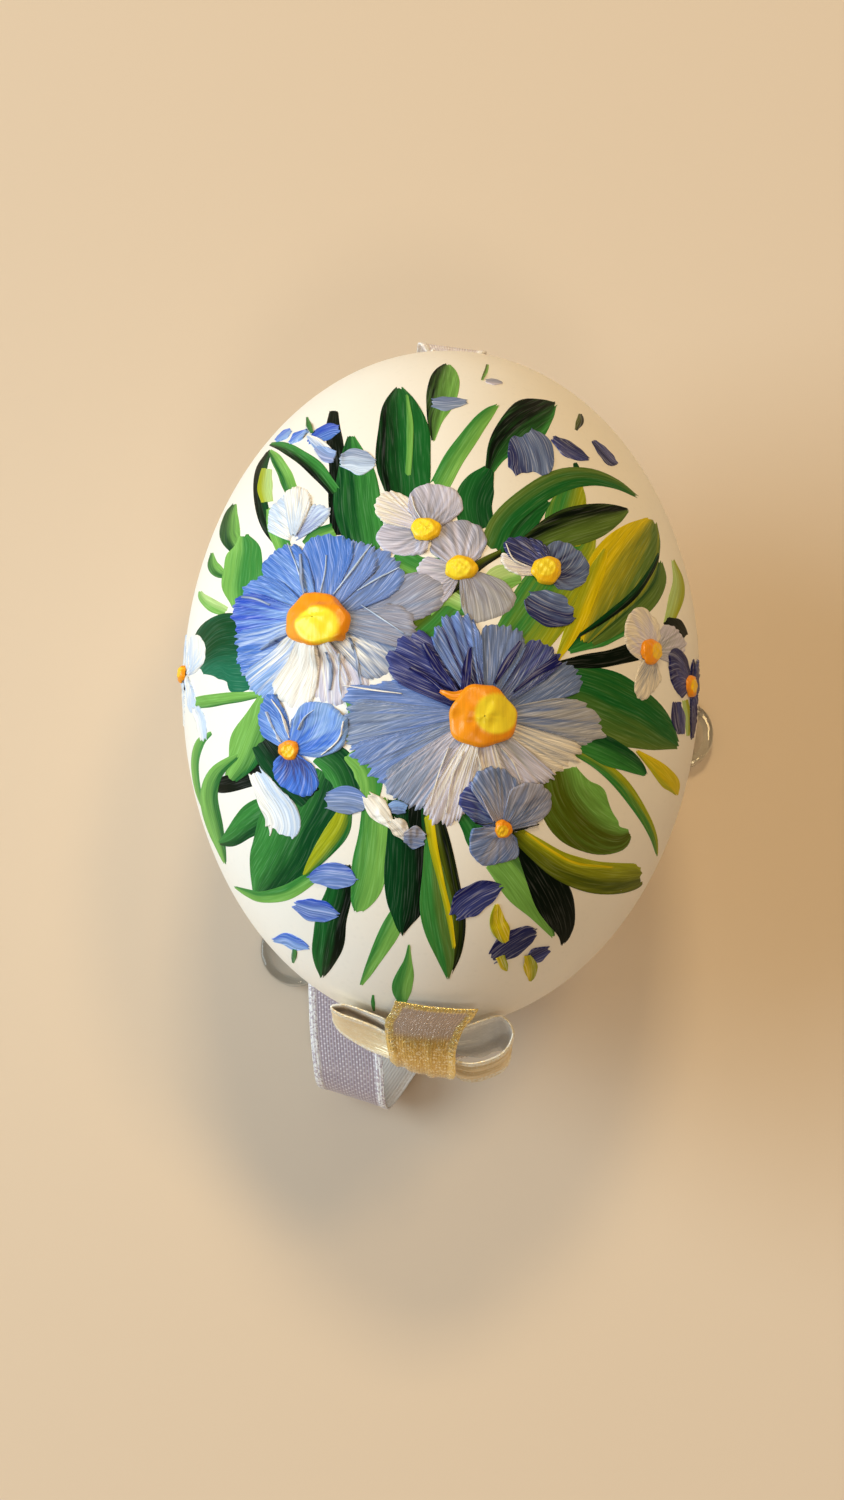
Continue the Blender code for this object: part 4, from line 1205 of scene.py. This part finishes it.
# painted reflection: the knot turns from its pinkish-grey start to bright gold where the band rolls over,
# partly the ribbon's tint and partly a painted warm highlight
knot_satin_with_painted_gold_reflection = satin_material(
    "knot_satin_with_painted_gold_reflection", "f3d888", "b98f3c", "fff4d0", metal=0.75, start="dccac0", start_length=3.2
)
left_loop = tied_band(
    "left_loop", LEFT_LOOP_TOP, LEFT_LOOP_BOTTOM, champagne_satin_with_painted_warm_light, cream_satin, pleats=0.6, seed=5
)
right_loop = tied_band(
    "right_loop", RIGHT_LOOP_BOTTOM, RIGHT_LOOP_TOP, champagne_satin_with_painted_warm_light, white_satin_with_painted_daylight, pleats=0.6, seed=6
)
wrap = tied_band("wrap", WRAP_RIGHT, WRAP_LEFT, knot_satin_with_painted_gold_reflection, white_satin_with_painted_daylight, pleats=0.5, crown=0.35, seed=7)
satin_bow = joined("satin_bow", [left_loop, right_loop, wrap])
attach(satin_bow, "root")
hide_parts("bow")

# End knot
# At the blunt end the ribbon comes out of the shell again, is knotted so that it can't slip back, and its
# cut tail hangs down the shell. Its edge threads are silver.
END_WRAP_LEFT = (
    (-0.6, 28.6, 22.4), (-0.8, 30.2, 22.5), (-1.2, 30.6, 23.6), (-1.1, 31.0, 24.5), (-0.8, 31.5, 24.6),
    (-0.6, 31.8, 23.6), (-0.6, 31.8, 22.2), (-0.8, 31.5, 21.0), (-1.0, 31.0, 20.6),
)
END_WRAP_RIGHT = (
    (2.8, 28.6, 22.4), (3.1, 30.2, 22.3), (3.5, 30.6, 23.2), (3.4, 31.0, 24.0), (3.1, 31.4, 24.0),
    (2.9, 31.7, 23.2), (2.9, 31.7, 22.0), (3.1, 31.4, 21.0), (3.3, 30.9, 20.6),
)
END_TAIL_LEFT = (
    (-0.2, 31.0, 23.4), (-1.2, 31.3, 24.6), (-1.9, 32.1, 24.9),
    (-2.1, 32.4, 22.8), (-2.1, 31.9, 20.0), (-2.0, 31.4, 17.6),
)
END_TAIL_RIGHT = (
    (2.6, 31.0, 23.0), (3.4, 31.1, 23.7), (4.1, 31.8, 23.6),
    (4.3, 32.1, 21.6), (4.3, 31.6, 19.2), (4.2, 31.0, 17.1),
)
pearl_satin = satin_material("pearl_satin", "eee6ea", "c8bcc6", "ffffff", dots=0.4)
end_wrap = tied_band("end_wrap", END_WRAP_LEFT, END_WRAP_RIGHT, pearl_satin, pearl_satin, crown=0.1, seed=8)
end_tail = tied_band("end_tail", END_TAIL_LEFT, END_TAIL_RIGHT, pearl_satin, pearl_satin, seed=9)
end_knot = joined("silver_end_knot", [end_wrap, end_tail])
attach(end_knot, "root")
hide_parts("end_knot")

# Stand
# A small clear egg stand, injection moulded in one piece: a round ring that the egg sits in and three flat
# legs that slope to round feet. Its edges are softly rounded as they leave the mould.
STAND_OFFSET = np.array([-1.3, 2.05, 0.0]) * MM
RING_RADIUS = 11.5 * MM
RING_SECTION = 1.5 * MM
RING_HEIGHT = 3.45 * MM
RING_SEGMENTS = 160
SECTION_SEGMENTS = 32
LEG_COUNT = 3
LEG_REACH = 27.7 * MM
LEG_HALF_WIDTH = 3.4 * MM
LEG_THICKNESS = 1.7 * MM
LEG_STATIONS = 60
LEG_LANES = 15
LEG_TIP_STATIONS = 20
STAND_GRAIN = 0.28 * MM


def leg_height(reach):
    """The height of a leg's middle: level with the ring, then easing down to a flat foot."""
    start = RING_RADIUS + RING_SECTION
    end = LEG_REACH - 2 * LEG_HALF_WIDTH
    return RING_HEIGHT + (LEG_THICKNESS / 2 - RING_HEIGHT) * smooth_step(reach, start, end)


def add_leg(turn, material):
    """One leg, a flat strip with a round end, thickened and laid out from the ring."""
    tip_start = LEG_REACH - LEG_HALF_WIDTH
    lane = np.linspace(-1.0, 1.0, LEG_LANES)
    straight = np.linspace(RING_RADIUS, tip_start, LEG_STATIONS)
    curve = np.linspace(0.0, math.pi / 2 * 0.97, LEG_TIP_STATIONS)[1:]
    reach = np.concatenate([straight, tip_start + LEG_HALF_WIDTH * np.sin(curve)])
    half = np.concatenate([np.full(LEG_STATIONS, LEG_HALF_WIDTH), LEG_HALF_WIDTH * np.cos(curve)])
    along, across = np.broadcast_arrays(reach[:, None], half[:, None] * lane)
    x = along * math.cos(turn) - across * math.sin(turn)
    y = along * math.sin(turn) + across * math.cos(turn)
    points = np.stack([x, y, leg_height(along)], axis=-1) + stand_centre
    leg = add_piece("leg", grid_mesh("leg", points, {}), material)
    wall = leg.modifiers.new("wall", "SOLIDIFY")
    wall.thickness = LEG_THICKNESS
    wall.offset = 0.0
    apply_modifiers(leg)
    return leg


stand_centre = TABLE_POINT + STAND_OFFSET
clear_plastic = plain_material("clear_moulded_plastic", "f1f6f8", 0.04)
clear_shader = clear_plastic.node_tree.nodes["Principled BSDF"]
clear_shader.inputs["Transmission Weight"].default_value = 1.0
clear_shader.inputs["IOR"].default_value = 1.49
bpy.ops.object.select_all(action="DESELECT")
bpy.ops.mesh.primitive_torus_add(
    major_segments=RING_SEGMENTS,
    minor_segments=SECTION_SEGMENTS,
    major_radius=RING_RADIUS,
    minor_radius=RING_SECTION,
    location=stand_centre + np.array([0.0, 0.0, RING_HEIGHT]),
)
stand_ring = bpy.context.object
bpy.ops.object.transform_apply(location=True, rotation=True, scale=True)
stand_ring.data.materials.append(clear_plastic)
legs = [add_leg(2 * math.pi * i / LEG_COUNT, clear_plastic) for i in range(LEG_COUNT)]
stand = joined("clear_stand", [stand_ring, *legs])
moulding = stand.modifiers.new("moulding", "REMESH")
moulding.mode = "VOXEL"
moulding.voxel_size = STAND_GRAIN
rounding = stand.modifiers.new("rounding", "SMOOTH")
rounding.factor = 0.5
rounding.iterations = 8
apply_modifiers(stand)
stand.data.shade_smooth()
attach(stand, "root")
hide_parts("stand")
